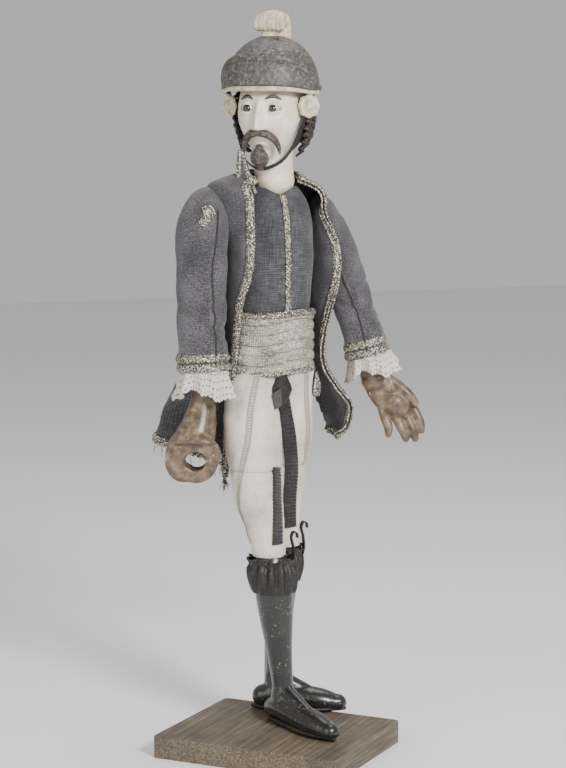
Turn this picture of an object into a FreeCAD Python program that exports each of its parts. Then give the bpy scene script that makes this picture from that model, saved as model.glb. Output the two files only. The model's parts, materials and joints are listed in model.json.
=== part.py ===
import FreeCAD, Part
import math
import os
from FreeCAD import Placement, Rotation, Vector

# A carved wooden soldier marionette that stands on a board.
# Frame: millimetres, +Z up, origin at the centre of the board's underside.
# The figure faces -Y, and its own left side is +X.

os.makedirs("parts", exist_ok=True)
doc = FreeCAD.newDocument("SoldierMarionette")

# ---- driving dimensions ----------------------------------------------------------------
sizes = {
    "boardLength": 171, "boardWidth": 138, "boardThick": 19, "boardCorner": 5,
    "boardEdge": 1.2, "boardTurn": -45.7,
    "figureX": 10, "figureY": 39,
    "soleZ": 20.6, "ankleZ": 48, "kneeZ": 182, "hipZ": 304,
    "sashBottomZ": 323, "sashTopZ": 375, "neckBaseZ": 480, "nodZ": 492,
    "headCentreZ": 545, "brimZ": 566, "domeTopZ": 609, "crestTopZ": 631,
    "headTurn": -40,
    "rodRadius": 2.5, "rodX": 8, "rodY": 38, "rodTopZ": 334, "rodSocket": 12,
    "woodRadius": 9, "tongueThick": 4, "tongueHalf": 4.2, "slotGap": 0.35,
    "pinRadius": 1.1, "pinPlay": 0.05,
    "pelvisWide": 42, "pelvisDeep": 26,
    "dowelRadius": 5, "dowelPlay": 0.05,
    "sashHalfWide": 34, "sashHalfDeep": 25, "sashThick": 4,
    "chestHalfWide": 27, "chestHalfDeep": 18,
    "waistcoatHalfWide": 34, "waistcoatHalfDeep": 23.5, "waistcoatThick": 3,
    "coatThick": 3,
    "headHalfWide": 28.5, "headHalfDeep": 34, "headHalfTall": 43, "neckRadius": 17.5,
    "helmetHalfWide": 38.5, "helmetHalfDeep": 42,
    "eyeRadius": 4.3, "bossRadius": 8.5, "bossThick": 8,
    "sleeveRadiusRight": 20, "sleeveRadiusLeft": 17.5, "sleeveBore": 10.5,
    "trouserTopRadius": 18, "trouserMiddleRadius": 19.5, "trouserKneeRadius": 14.6, "trouserBore": 9.8,
    "cuffRadius": 18.6, "bootTopRadius": 15.5, "bootAnkleRadius": 8.6,
    "gripRadius": 8,
}
sheet = doc.addObject("Spreadsheet::Sheet", "Sizes")
for row, (alias, value) in enumerate(sizes.items(), start=1):
    sheet.set(f"A{row}", alias)
    sheet.set(f"B{row}", str(value))
    sheet.setAlias(f"B{row}", alias)
doc.recompute()

nodes = []


def cell(alias):
    return float(sheet.get(alias))


def place(dx, dy, z):
    """A point given from the figure's upright axis."""
    return Vector(cell("figureX") + dx, cell("figureY") + dy, z)


def bind(obj, **expressions):
    for prop, expression in expressions.items():
        obj.setExpression(prop, expression)
    return obj


def node(obj, label):
    obj.Label = label
    nodes.append(obj)
    return obj


def turnTo(direction):
    return Rotation(Vector(0, 0, 1), Vector(direction))


def cylinder(name, start, direction, **expressions):
    obj = doc.addObject("Part::Cylinder", name)
    obj.Placement = Placement(start, turnTo(direction))
    return bind(obj, **expressions)


def cut(name, base, tool):
    obj = doc.addObject("Part::Cut", name)
    obj.Base = base
    obj.Tool = tool
    return obj


def fuse(name, *shapes):
    obj = doc.addObject("Part::MultiFuse", name)
    obj.Shapes = list(shapes)
    return obj


def feature(label, shape):
    obj = doc.addObject("Part::Feature", label)
    obj.Shape = shape
    return node(obj, label)


def group(label, solids):
    return feature(label, Part.makeCompound(solids))


# ---- shape helpers ---------------------------------------------------------------------
def rod(start, end, radius):
    return Part.makeCylinder(radius, (end - start).Length, start, end - start)


def taper(start, end, radiusStart, radiusEnd):
    if abs(radiusStart - radiusEnd) < 1e-6:
        return rod(start, end, radiusStart)
    return Part.makeCone(radiusStart, radiusEnd, (end - start).Length, start, end - start)


def slab(centre, along, across, length, width, thick):
    """A box centred on a point: length runs along, thick runs across, width the third way."""
    box = Part.makeBox(thick, width, length, Vector(-thick / 2, -width / 2, -length / 2))
    x = Vector(across).normalize()
    z = Vector(along) - x * Vector(along).dot(x)
    box.Placement = Placement(centre, Rotation(x, Vector(), z.normalize(), "ZXY"))
    return box


def ellipse(centre, halfX, halfY):
    if halfX >= halfY:
        edge = Part.Ellipse(centre, halfX, halfY).toShape()
    else:
        edge = Part.Ellipse(centre + Vector(0, halfY, 0), centre + Vector(halfX, 0, 0), centre).toShape()
    return Part.Wire([edge])


def ellipticTube(sections, thick):
    """A shell between a loft of ellipses and the same loft made thinner by its wall."""
    outer = Part.makeLoft([ellipse(place(dx, dy, z), a, b) for dx, dy, z, a, b in sections], True)
    low, high = sections[0], sections[-1]
    inside = [(low[0], low[1], low[2] - 1, low[3], low[4])] + sections[1:-1]
    inside.append((high[0], high[1], high[2] + 1, high[3], high[4]))
    rings = [ellipse(place(dx, dy, z), a - thick, b - thick) for dx, dy, z, a, b in inside]
    return outer.cut(Part.makeLoft(rings, True))


def band(sections, thick):
    """A curved panel: each section is a smooth line of plan points at a height, made thick."""
    wires = []
    for z, points in sections:
        line = [place(x, y, z) for x, y in points]
        back = []
        for i, point in enumerate(line):
            ahead = line[min(i + 1, len(line) - 1)] - line[max(i - 1, 0)]
            back.append(point + Vector(-ahead.y, ahead.x, 0).normalize() * thick)
        outer = Part.BSplineCurve()
        outer.interpolate(line)
        inner = Part.BSplineCurve()
        inner.interpolate(back[::-1])
        edges = [outer.toShape(), Part.makeLine(line[-1], back[-1])]
        edges += [inner.toShape(), Part.makeLine(back[0], line[0])]
        wires.append(Part.Wire(edges))
    return Part.makeLoft(wires, True, True)


def tongueEnd(wood, base, tip, axis):
    """Adds a flat tongue from the wood's end to the hinge, with a round end and a pin hole."""
    thick = cell("tongueThick")
    half = cell("tongueHalf")
    unit = Vector(axis).normalize()
    reach = (base - tip) - unit * (base - tip).dot(unit)
    tongue = slab(tip + reach * 0.5, reach, axis, reach.Length, 2 * half, thick)
    side = unit * (thick / 2)
    tongue = tongue.fuse(rod(tip - side, tip + side, half))
    hole = rod(tip - side * 3, tip + side * 3, cell("pinRadius") + cell("pinPlay"))
    return wood.fuse(tongue).cut(hole).removeSplitter()


def slotted(wood, hinge, along, axis, depth, reach):
    """Cuts the slot that a tongue turns in; it is open past the end of the wood."""
    unit = Vector(axis).normalize()
    inward = (Vector(along) - unit * Vector(along).dot(unit)).normalize()
    width = cell("tongueThick") + 2 * cell("slotGap")
    return wood.cut(slab(hinge - inward * ((reach - depth) / 2), inward, axis, reach + depth, 60, width))


def pin(hinge, axis, halfLength):
    side = Vector(axis).normalize() * halfLength
    return rod(hinge - side, hinge + side, cell("pinRadius"))


def pinHole(wood, hinge, axis):
    side = Vector(axis).normalize() * 40
    return wood.cut(rod(hinge - side, hinge + side, cell("pinRadius")))


def capsule(start, end, radiusStart, radiusEnd):
    body = taper(start, end, radiusStart, radiusEnd)
    return body.fuse([Part.makeSphere(radiusStart, start), Part.makeSphere(radiusEnd, end)])


# ---- board, support rod and bracket ----------------------------------------------------
board = doc.addObject("PartDesign::Body", "BaseBoard")
outline = board.newObject("Sketcher::SketchObject", "BoardOutline")
plane = [item for item in board.Origin.OriginFeatures if item.Role == "XY_Plane"][0]
outline.AttachmentSupport = [(plane, "")]
outline.MapMode = "FlatFace"
corners = [(-1, -1), (1, -1), (1, 1), (-1, 1)]
points = [Vector(x * cell("boardLength") / 2, y * cell("boardWidth") / 2, 0) for x, y in corners]
for i in range(4):
    outline.addGeometry(Part.LineSegment(points[i], points[(i + 1) % 4]), False)
boardPad = board.newObject("PartDesign::Pad", "BoardPad")
boardPad.Profile = outline
bind(boardPad, Length="Sizes.boardThick")
doc.recompute()
upright = [f"Edge{i + 1}" for i, e in enumerate(boardPad.Shape.Edges)
           if abs(e.tangentAt(e.FirstParameter).z) > 0.99]
rounding = board.newObject("PartDesign::Fillet", "BoardCorners")
rounding.Base = (boardPad, upright)
bind(rounding, Radius="Sizes.boardCorner")
doc.recompute()
rims = [f"Edge{i + 1}" for i, e in enumerate(rounding.Shape.Edges)
        if e.BoundBox.ZLength < 0.01 and e.BoundBox.ZMax > cell("boardThick") - 0.01]
easing = board.newObject("PartDesign::Fillet", "BoardRim")
easing.Base = (rounding, rims)
bind(easing, Radius="Sizes.boardEdge")
board.Placement = Placement(Vector(0, 0, 0), Rotation(Vector(0, 0, 1), cell("boardTurn")))
rodFoot = place(cell("rodX"), cell("rodY"), cell("boardThick") - cell("rodSocket"))
socket = cylinder("RodSocket", rodFoot, (0, 0, 1), Radius="Sizes.rodRadius", Height="Sizes.rodSocket + 5")
node(cut("BoardWithSocket", board, socket), "base_board")
supportRod = cylinder("SupportRod", rodFoot, (0, 0, 1), Radius="Sizes.rodRadius",
                      Height="Sizes.rodTopZ - Sizes.boardThick + Sizes.rodSocket")
node(supportRod, "support_rod")

pelvisBack = cell("pelvisDeep") / 2
bracketTop = cell("rodTopZ") + 8
bracketReach = cell("rodY") + 4 - pelvisBack
bracketPlate = doc.addObject("Part::Box", "BracketPlate")
bracketPlate.Placement = Placement(place(1, pelvisBack, bracketTop - 5), Rotation())
bind(bracketPlate, Length="14", Width=str(bracketReach), Height="5")
bracketHole = cylinder("BracketHole", place(cell("rodX"), cell("rodY"), bracketTop - 30), (0, 0, 1),
                       Radius="Sizes.rodRadius", Height="22")
bracketEar = doc.addObject("Part::Box", "BracketEar")
bracketEar.Placement = Placement(place(1, pelvisBack, bracketTop), Rotation())
bind(bracketEar, Length="14", Width="3", Height="16")
bracketSolid = fuse("BracketSolid", bracketPlate, bracketEar)
screwSpots = [place(8, pelvisBack, bracketTop + lift) for lift in (4.5, 12)]
shanks = [cylinder(f"ScrewHole{i}", spot + Vector(0, -9, 0), (0, 1, 0), Radius="1.4", Height="20")
          for i, spot in enumerate(screwSpots)]
shankGroup = fuse("ScrewHoles", *shanks)
node(cut("BracketDrilled", bracketSolid, shankGroup), "rod_bracket")
screws = []
for spot in screwSpots:
    shank = rod(spot + Vector(0, -8, 0), spot + Vector(0, 3, 0), 1.4)
    head = rod(spot + Vector(0, 3, 0), spot + Vector(0, 4.6, 0), 2.8)
    screws.append(shank.fuse(head))
group("bracket_screws", screws)

# ---- pelvis, waist dowel and hip thongs ------------------------------------------------
# The left leg swings out along its own foot, so its hinge is turned with it.
legs = {
    "right": {"hip": (-18, 0), "knee": (-11, -24), "ankle": (-1, -28), "swing": (0, -1),
              "toeward": (0.28, -0.96), "footLength": 84, "bulge": -4},
    "left": {"hip": (18, 0), "knee": (12, 15), "ankle": (9, 18), "swing": (0.89, -0.45),
             "toeward": (0.89, -0.45), "footLength": 72, "bulge": 2},
}


def hingeAxis(swing):
    """The horizontal axis whose positive turn swings a hanging limb that way."""
    return Vector(swing[1], -swing[0], 0).normalize()


pelvisBottom = cell("sashBottomZ") + 4
pelvis = Part.makeBox(cell("pelvisWide"), cell("pelvisDeep"), 36,
                      place(-cell("pelvisWide") / 2, -pelvisBack, pelvisBottom))
dowelFoot = place(0, 0, pelvisBottom + 10)
dowel = rod(dowelFoot, place(0, 0, cell("sashTopZ") + 32), cell("dowelRadius"))
pelvis = pelvis.cut(dowel)
for spot in screwSpots:
    pelvis = pelvis.cut(rod(spot + Vector(0, -8, 0), spot, 1.4))
thongs = []
for leg in legs.values():
    axis = hingeAxis(leg["swing"])
    hip = place(*leg["hip"], cell("hipZ"))
    top = hip + Vector(0, 0, pelvisBottom + 8 - cell("hipZ"))
    thong = tongueEnd(slab((hip + top) * 0.5, Vector(0, 0, 1), axis, (top - hip).Length, 8,
                           cell("tongueThick")), top, hip, axis)
    thongs.append(thong)
    pelvis = pelvis.cut(slab((hip + top) * 0.5, Vector(0, 0, 1), axis, (top - hip).Length,
                             2 * cell("tongueHalf"), cell("tongueThick")))
feature("pelvis_block", pelvis)
group("hip_thongs", thongs)
dowelNode = cylinder("WaistDowel", dowelFoot, (0, 0, 1), Radius="Sizes.dowelRadius",
                     Height="Sizes.sashTopZ + 32 - Sizes.sashBottomZ - 14")
node(dowelNode, "waist_dowel")
sashA = cell("sashHalfWide")
sashB = cell("sashHalfDeep")
sashMiddle = (cell("sashBottomZ") + cell("sashTopZ")) / 2
sash = ellipticTube([(0, 0, cell("sashBottomZ"), sashA + 0.5, sashB),
                     (0, 0, sashMiddle, sashA - 0.5, sashB - 0.5),
                     (0, 0, cell("sashTopZ"), sashA - 1, sashB - 1)], cell("sashThick"))
# the bracket comes out through a slit at the back of the sash
feature("sash", sash.cut(Part.makeBox(15, 30, 26, place(0.5, pelvisBack, bracketTop - 5.5))))

# ---- legs ------------------------------------------------------------------------------
for side, leg in legs.items():
    axis = hingeAxis(leg["swing"])
    hip = place(*leg["hip"], cell("hipZ"))
    knee = place(*leg["knee"], cell("kneeZ"))
    ankle = place(*leg["ankle"], cell("ankleZ"))
    wood = cell("woodRadius")
    along = (knee - hip).normalize()
    thigh = capsule(hip, knee, wood, wood)
    thigh = slotted(thigh, hip, along, axis, 6, 30)
    thigh = slotted(thigh, knee, along * -1, axis, 7, 30)
    thigh = pinHole(pinHole(thigh, hip, axis), knee, axis)
    feature(f"thigh_{side}", thigh)
    group(f"thigh_pins_{side}", [pin(hip, axis, 7.5), pin(knee, axis, 7.5)])

    middle = hip + (knee - hip) * 0.42 + Vector(leg["bulge"], 0, 0)
    girth = cell("trouserMiddleRadius")
    cloth = capsule(hip, middle, cell("trouserTopRadius"), girth)
    cloth = cloth.fuse(capsule(middle, knee, girth, cell("trouserKneeRadius")))
    cloth = cloth.cut(capsule(hip, knee, cell("trouserBore"), cell("trouserBore")))
    cloth = cloth.cut(slab(hip + Vector(0, 0, 12.5), Vector(0, 0, 1), axis, 39, 60, 12))
    back = Vector(-leg["swing"][0], -leg["swing"][1], 0).normalize()
    opening = slab(knee + back * 12 - Vector(0, 0, 12), Vector(0, 0, 1), axis, 42, 44, 23)
    cloth = cloth.cut(opening)
    inner = -1 if side == "left" else 1
    gapBox = Part.makeBox(40, 90, 118, place(0 if inner > 0 else -40, -45, cell("hipZ") - 78))
    gapBox.translate(Vector(-0.4 * inner, 0, 0))
    cloth = cloth.cut(gapBox)
    feature(f"trouser_leg_{side}", cloth)

    bootTop = knee + (ankle - knee) * (16.5 / (cell("kneeZ") - cell("ankleZ")))
    neck = knee + (ankle - knee) * ((cell("kneeZ") - cell("ankleZ") - 13) / (cell("kneeZ") - cell("ankleZ")))
    calf = bootTop + (neck - bootTop) * 0.4
    shin = taper(bootTop, calf, 12, cell("bootTopRadius"))
    shin = shin.fuse(taper(calf, neck, cell("bootTopRadius"), cell("bootAnkleRadius")))
    shin = tongueEnd(shin, bootTop, knee, axis)
    shin = tongueEnd(shin, neck, ankle, axis)
    feature(f"boot_shaft_{side}", shin)
    cuffTop = bootTop + Vector(0, 0, -0.2)
    cuffFoot = bootTop + (neck - bootTop) * 0.29
    cuff = taper(cuffTop, (cuffTop + cuffFoot) * 0.5, cell("cuffRadius") - 2.5, cell("cuffRadius"))
    cuff = cuff.fuse(taper((cuffTop + cuffFoot) * 0.5, cuffFoot, cell("cuffRadius"), cell("cuffRadius") - 2))
    feature(f"boot_cuff_{side}", cuff.cut(shin))

    toe = Vector(leg["toeward"][0], leg["toeward"][1], 0).normalize()
    length = leg["footLength"]
    footAcross = Vector(toe.y, -toe.x, 0)
    soleZ = Vector(0, 0, cell("soleZ") - cell("ankleZ"))
    # the foot: a round ankle block, a sloping instep and a flat sole
    rings = []
    for step, half, tall in [(-4, 7, 20), (12, 9, 31), (34, 10.5, 27), (62, 12.5, 17), (length, 9, 12)]:
        rings.append((ankle + toe * (step - 9), half, tall))
    profile = []
    for middle, half, tall in rings:
        low = middle + soleZ
        across = footAcross * half
        outlinePoints = [low - across, low + across, low + across + Vector(0, 0, tall * 0.45),
                         low + across * 0.45 + Vector(0, 0, tall),
                         low - across * 0.45 + Vector(0, 0, tall),
                         low - across + Vector(0, 0, tall * 0.45)]
        profile.append(Part.makePolygon(outlinePoints + outlinePoints[:1]))
    foot = Part.makeLoft(profile, True, True)
    foot = foot.fuse(taper(ankle + soleZ, ankle + Vector(0, 0, 4.5), 9.5, 8.6))
    foot = slotted(foot, ankle, Vector(0, 0, -1), axis, 7, 30)
    foot = pinHole(foot, ankle, axis)
    feature(f"boot_foot_{side}", foot)
    feature(f"ankle_pin_{side}", pin(ankle, axis, 7))

# ---- chest, waistcoat and coat ---------------------------------------------------------
arms = {
    "right": {"shoulder": (-60, 2, 452), "elbow": (-64, 2, 378), "wrist": (-63, -2, 309),
              "tip": (-71, -6, 252)},
    "left": {"shoulder": (54, 13, 446), "elbow": (75, 8, 385), "wrist": (91, 0, 322),
             "tip": (107, -6, 291)},
}
chestBottom = cell("sashTopZ") + 3
chestA = cell("chestHalfWide")
chestB = cell("chestHalfDeep")
chest = Part.makeLoft([ellipse(place(0, 0, z), a, b) for z, a, b in
                       [(chestBottom, chestA - 5, chestB - 2), (430, chestA, chestB),
                        (468, chestA - 5, chestB - 4), (cell("neckBaseZ"), 13, 11)]], True)
chest = chest.cut(rod(dowelFoot, place(0, 0, cell("sashTopZ") + 32.5),
                      cell("dowelRadius") + cell("dowelPlay")))
pegRadius = 4.5
neckPegFoot = place(0, 0, cell("neckBaseZ") - 26)
chest = chest.cut(rod(neckPegFoot, place(0, 0, cell("neckBaseZ") + 2), pegRadius + 0.05))
shoulderPegs = {}
for side, arm in arms.items():
    shoulder = place(*arm["shoulder"])
    outward = 1 if side == "left" else -1
    root = shoulder - Vector(outward * (abs(arm["shoulder"][0]) - 14), 0, 0)
    chest = chest.cut(rod(root - Vector(outward * 0.4, 0, 0), shoulder, pegRadius + 0.05))
    neckOfPeg = shoulder - Vector(outward * 8, 0, 0)
    peg = rod(root, neckOfPeg, pegRadius)
    shoulderPegs[side] = tongueEnd(peg, neckOfPeg, shoulder, Vector(0, 1, 0))
feature("chest_block", chest)

waistA = cell("waistcoatHalfWide")
waistB = cell("waistcoatHalfDeep")
vestWall = cell("waistcoatThick")
vestRings = [(0, 0, chestBottom - 1.5, waistA - 3, waistB - 1.5), (0, 0, 425, waistA, waistB),
             (0, 0, 460, waistA - 2, waistB - 1.5), (0, 0, cell("neckBaseZ") - 1, 20, 17.5)]
vest = ellipticTube(vestRings, vestWall)
vestRoom = Part.makeLoft([ellipse(place(dx, dy, z), a + 0.4, b + 0.4) for dx, dy, z, a, b in vestRings],
                         True)
for side, arm in arms.items():
    outward = 1 if side == "left" else -1
    shoulder = place(*arm["shoulder"])
    vest = vest.cut(rod(shoulder - Vector(outward * 60, 0, 0), shoulder, pegRadius + 1))
    sphereRadius = cell("sleeveRadiusLeft" if side == "left" else "sleeveRadiusRight") + 0.7
    vest = vest.cut(Part.makeSphere(sphereRadius, shoulder))
feature("waistcoat", vest)

# coat: the back is one panel with its skirt, and the fronts hang open from the shoulders
coat = cell("coatThick")
pegWays = []
for side, arm in arms.items():
    outward = 1 if side == "left" else -1
    shoulder = place(*arm["shoulder"])
    pegWays.append(rod(shoulder - Vector(outward * 60, 0, 0), shoulder, pegRadius + 1))
    pegWays.append(Part.makeSphere(cell("sleeveRadius" + side.capitalize()) + 0.7, shoulder))


def coatPanel(*bands):
    panel = bands[0]
    for more in bands[1:]:
        panel = panel.fuse(more)
    panel = panel.cut(vestRoom)
    for way in pegWays:
        panel = panel.cut(way)
    return panel


backWaist = [(-36, 14), (-20, 26.5), (0, 29), (20, 26.5), (36, 14)]
backTop = band([(474, [(-25, 13), (-13, 21.5), (0, 23.5), (13, 21.5), (25, 13)]),
                (458, [(-33, 12), (-19, 23.5), (0, 25.5), (19, 23.5), (32, 12)]),
                (430, [(-35, 12), (-20, 23.5), (0, 26.5), (20, 23.5), (34, 12)]),
                (378, backWaist)], coat)
backSkirt = band([(378, backWaist),
                  (340, [(-60, 44), (-34, 45), (0, 47.5), (30, 43), (44, 22)]),
                  (268, [(-86, 54), (-44, 52), (0, 56), (38, 54), (62, 34)])], coat)
feature("coat_back", coatPanel(backTop, backSkirt))
rightFront = band([(474, [(-27.5, 8), (-29, 0), (-21, -17)]),
                   (458, [(-33.5, 8), (-34.5, 0), (-26, -18.5)]),
                   (430, [(-34.5, 8), (-35.5, 0), (-27, -18.5)]),
                   (378, [(-36, 10), (-36.8, 2), (-31, -19)]),
                   (322, [(-38.2, 14), (-38.6, 6), (-38.2, -5)]),
                   (236, [(-38.2, 18), (-38.6, 13), (-38.2, 9)])], -coat)
feature("coat_front_right", coatPanel(rightFront))
leftFront = band([(474, [(27.5, 8), (29, 0), (21, -17)]),
                  (458, [(33, 8), (34, 0), (26, -18.5)]),
                  (430, [(34, 8), (35, 0), (27, -18.5)]),
                  (378, [(37, 9), (39, 1), (36, -15)]),
                  (322, [(46, 18), (51, 6), (48, -8)]),
                  (268, [(64, 30), (66, 12), (58, -4)])], coat)
feature("coat_front_left", coatPanel(leftFront))

# ---- neck peg --------------------------------------------------------------------------
turn = Rotation(Vector(0, 0, 1), cell("headTurn"))
lateral = turn.multVec(Vector(1, 0, 0))
nod = place(0, 0, cell("nodZ"))
neckPeg = rod(neckPegFoot, place(0, 0, cell("nodZ") - 9), pegRadius)
feature("neck_peg", tongueEnd(neckPeg, place(0, 0, cell("nodZ") - 9), nod, lateral))

# ---- head and helmet, built facing -Y and then turned ----------------------------------
headFrame = Placement(Vector(cell("figureX"), cell("figureY"), 0), turn)


def ellipsoid(name, centre, wide, deep, tall):
    obj = doc.addObject("Part::Ellipsoid", name)
    obj.Angle1 = -90
    obj.Angle2 = 90
    obj.Angle3 = 360
    obj.Placement = Placement(Vector(*centre), Rotation())
    return bind(obj, Radius1=tall, Radius2=wide, Radius3=deep)


def onHead(obj, label):
    """Turns a finished head piece into place as a node of its own."""
    doc.recompute()
    shape = obj.Shape.copy()
    shape.Placement = headFrame.multiply(shape.Placement)
    return feature(label, shape)


headZ = cell("headCentreZ")
skull = ellipsoid("Skull", (0, -1, headZ), "Sizes.headHalfWide", "Sizes.headHalfDeep",
                  "Sizes.headHalfTall")
neck = cylinder("Neck", Vector(0, 2, cell("neckBaseZ") + 3), (0, 0, 1), Radius="Sizes.neckRadius",
                Height="40")
nose = doc.addObject("Part::Cone", "Nose")
nose.Placement = Placement(Vector(0, -35.5, headZ - 12), Rotation())
bind(nose, Radius1="6.5", Radius2="2.5", Height="18")
chin = ellipsoid("Chin", (0, -21, headZ - 34), "14", "13", "10")
headSolid = fuse("HeadSolid", skull, neck, nose, chin)
eyeBalls = [ellipsoid(f"Eye{i}", (x, -31, headZ + 4), "Sizes.eyeRadius", "Sizes.eyeRadius",
                      "Sizes.eyeRadius") for i, x in enumerate((-11.5, 11.5))]
doc.recompute()
headShape = headSolid.Shape.copy()
headShape.Placement = headFrame.multiply(headShape.Placement)
slotWidth = cell("tongueThick") + 2 * cell("slotGap")
headShape = headShape.cut(slab(nod + Vector(0, 0, -6), Vector(0, 0, 1), lateral, 30, 26, slotWidth))
headShape = headShape.cut(Part.makeCylinder(8, 16, place(0, 0, cell("neckBaseZ") - 4)))
headShape = headShape.cut(pin(nod, lateral, 13))
feature("head_core", headShape)
feature("neck_pin", pin(nod, lateral, 13))
onHead(cut("EyesCut", fuse("EyePair", *eyeBalls), headSolid), "eyes")


moustacheLobes = []
for name, outward in (("MoustacheRight", -1), ("MoustacheLeft", 1)):
    lobe = doc.addObject("Part::Cone", name)
    droop = Vector(outward * 17, 13, -14)
    lobe.Placement = Placement(Vector(0, -33.5, headZ - 16), Rotation(Vector(0, 0, 1), droop))
    moustacheLobes.append(bind(lobe, Radius1="4.5", Radius2="2.5", Height="25"))
onHead(cut("MoustacheCut", fuse("MoustacheShape", *moustacheLobes), headSolid), "moustache")
goateeShape = doc.addObject("Part::Cone", "GoateeShape")
goateeShape.Placement = Placement(Vector(0, -33, headZ - 45), Rotation())
bind(goateeShape, Radius1="2.5", Radius2="5.5", Height="15")
onHead(cut("GoateeCut", goateeShape, headSolid), "goatee")

hairShape = ellipsoid("HairShape", (0, 1, headZ), "Sizes.headHalfWide + 4",
                      "Sizes.headHalfDeep + 5", "Sizes.headHalfTall")
hairKeep = doc.addObject("Part::Box", "HairKeep")
hairKeep.Placement = Placement(Vector(-40, 0, headZ - 32), Rotation())
bind(hairKeep, Length="80", Width="50", Height="Sizes.brimZ - Sizes.headCentreZ + 32 - 0.1")
hairBack = doc.addObject("Part::Common", "HairBack")
hairBack.Base = hairShape
hairBack.Tool = hairKeep
onHead(cut("HairCut", hairBack, headSolid), "hair")

dome = ellipsoid("Dome", (0, 1, cell("brimZ")), "Sizes.helmetHalfWide", "Sizes.helmetHalfDeep",
                 "Sizes.domeTopZ - Sizes.brimZ")
dome.Angle1 = 0
helmetBand = doc.addObject("Part::Feature", "HelmetBand")
helmetBand.Shape = Part.Face(ellipse(Vector(0, 1, cell("brimZ") - 4), cell("helmetHalfWide"),
                                     cell("helmetHalfDeep"))).extrude(Vector(0, 0, 4))
hairClear = ellipsoid("HairClear", (0, 1, headZ), "Sizes.headHalfWide + 4", "Sizes.headHalfDeep + 5",
                      "Sizes.headHalfTall")
helmetSolid = fuse("HelmetSolid", dome, helmetBand)
helmetOpen = cut("HelmetOpen", helmetSolid, hairClear)
helmetFit = cut("HelmetFit", helmetOpen, headSolid)
onHead(helmetFit, "helmet_shell")

plateShape = ellipsoid("PlateShape", (0, -1.5, cell("brimZ") - 3), "Sizes.helmetHalfWide + 1",
                       "Sizes.helmetHalfDeep + 2", "Sizes.domeTopZ - Sizes.brimZ - 4")
plateKeep = doc.addObject("Part::Box", "PlateKeep")
plateKeep.Placement = Placement(Vector(-45, -60, cell("brimZ") - 2), Rotation())
bind(plateKeep, Length="90", Width="52", Height="40")
plateFront = doc.addObject("Part::Common", "PlateFront")
plateFront.Base = plateShape
plateFront.Tool = plateKeep
onHead(cut("PlateCut", plateFront, helmetSolid), "helmet_front_plate")

crestNeck = doc.addObject("Part::Box", "CrestNeck")
crestNeck.Placement = Placement(Vector(-10, -8, cell("domeTopZ") - 12), Rotation())
bind(crestNeck, Length="20", Width="16", Height="Sizes.crestTopZ - Sizes.domeTopZ + 6")
crestRoll = cylinder("CrestRoll", Vector(-13, -6, cell("crestTopZ") - 10), (1, 0, 0), Radius="10",
                     Height="26")
crestSolid = fuse("CrestSolid", crestNeck, crestRoll)
onHead(cut("CrestCut", crestSolid, helmetSolid), "helmet_crest")

bosses = fuse("Bosses", *[cylinder(f"Boss{i}", Vector(x, -9, headZ + 6), (1, 0, 0),
                                   Radius="Sizes.bossRadius", Height="Sizes.bossThick")
                          for i, x in enumerate((-cell("helmetHalfWide") - 1.5,
                                                 cell("helmetHalfWide") + 1.5 - cell("bossThick")))])
bossTrim = cut("BossTrim", bosses, helmetSolid)
onHead(cut("BossFit", bossTrim, headSolid), "rosette_bosses")

strapHigh = Vector(cell("helmetHalfWide") - 4, -9, headZ - 3)
strapLow = Vector(0, -21, headZ - 46.5)
curve = Part.BSplineCurve()
curve.interpolate([Vector(-strapHigh.x, strapHigh.y, strapHigh.z), Vector(-28, -15, headZ - 30),
                   strapLow, Vector(28, -15, headZ - 30), strapHigh])
spine = Part.Wire([curve.toShape()])
start = curve.value(0)
profileFace = Part.Wire([Part.makeCircle(1.3, start, curve.tangent(0)[0])])
strap = doc.addObject("Part::Feature", "StrapSweep")
strap.Shape = spine.makePipeShell([profileFace], True, True)
strapTrim = cut("StrapTrim", strap, bosses)
onHead(cut("StrapFit", strapTrim, headSolid), "chin_strap")

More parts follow.
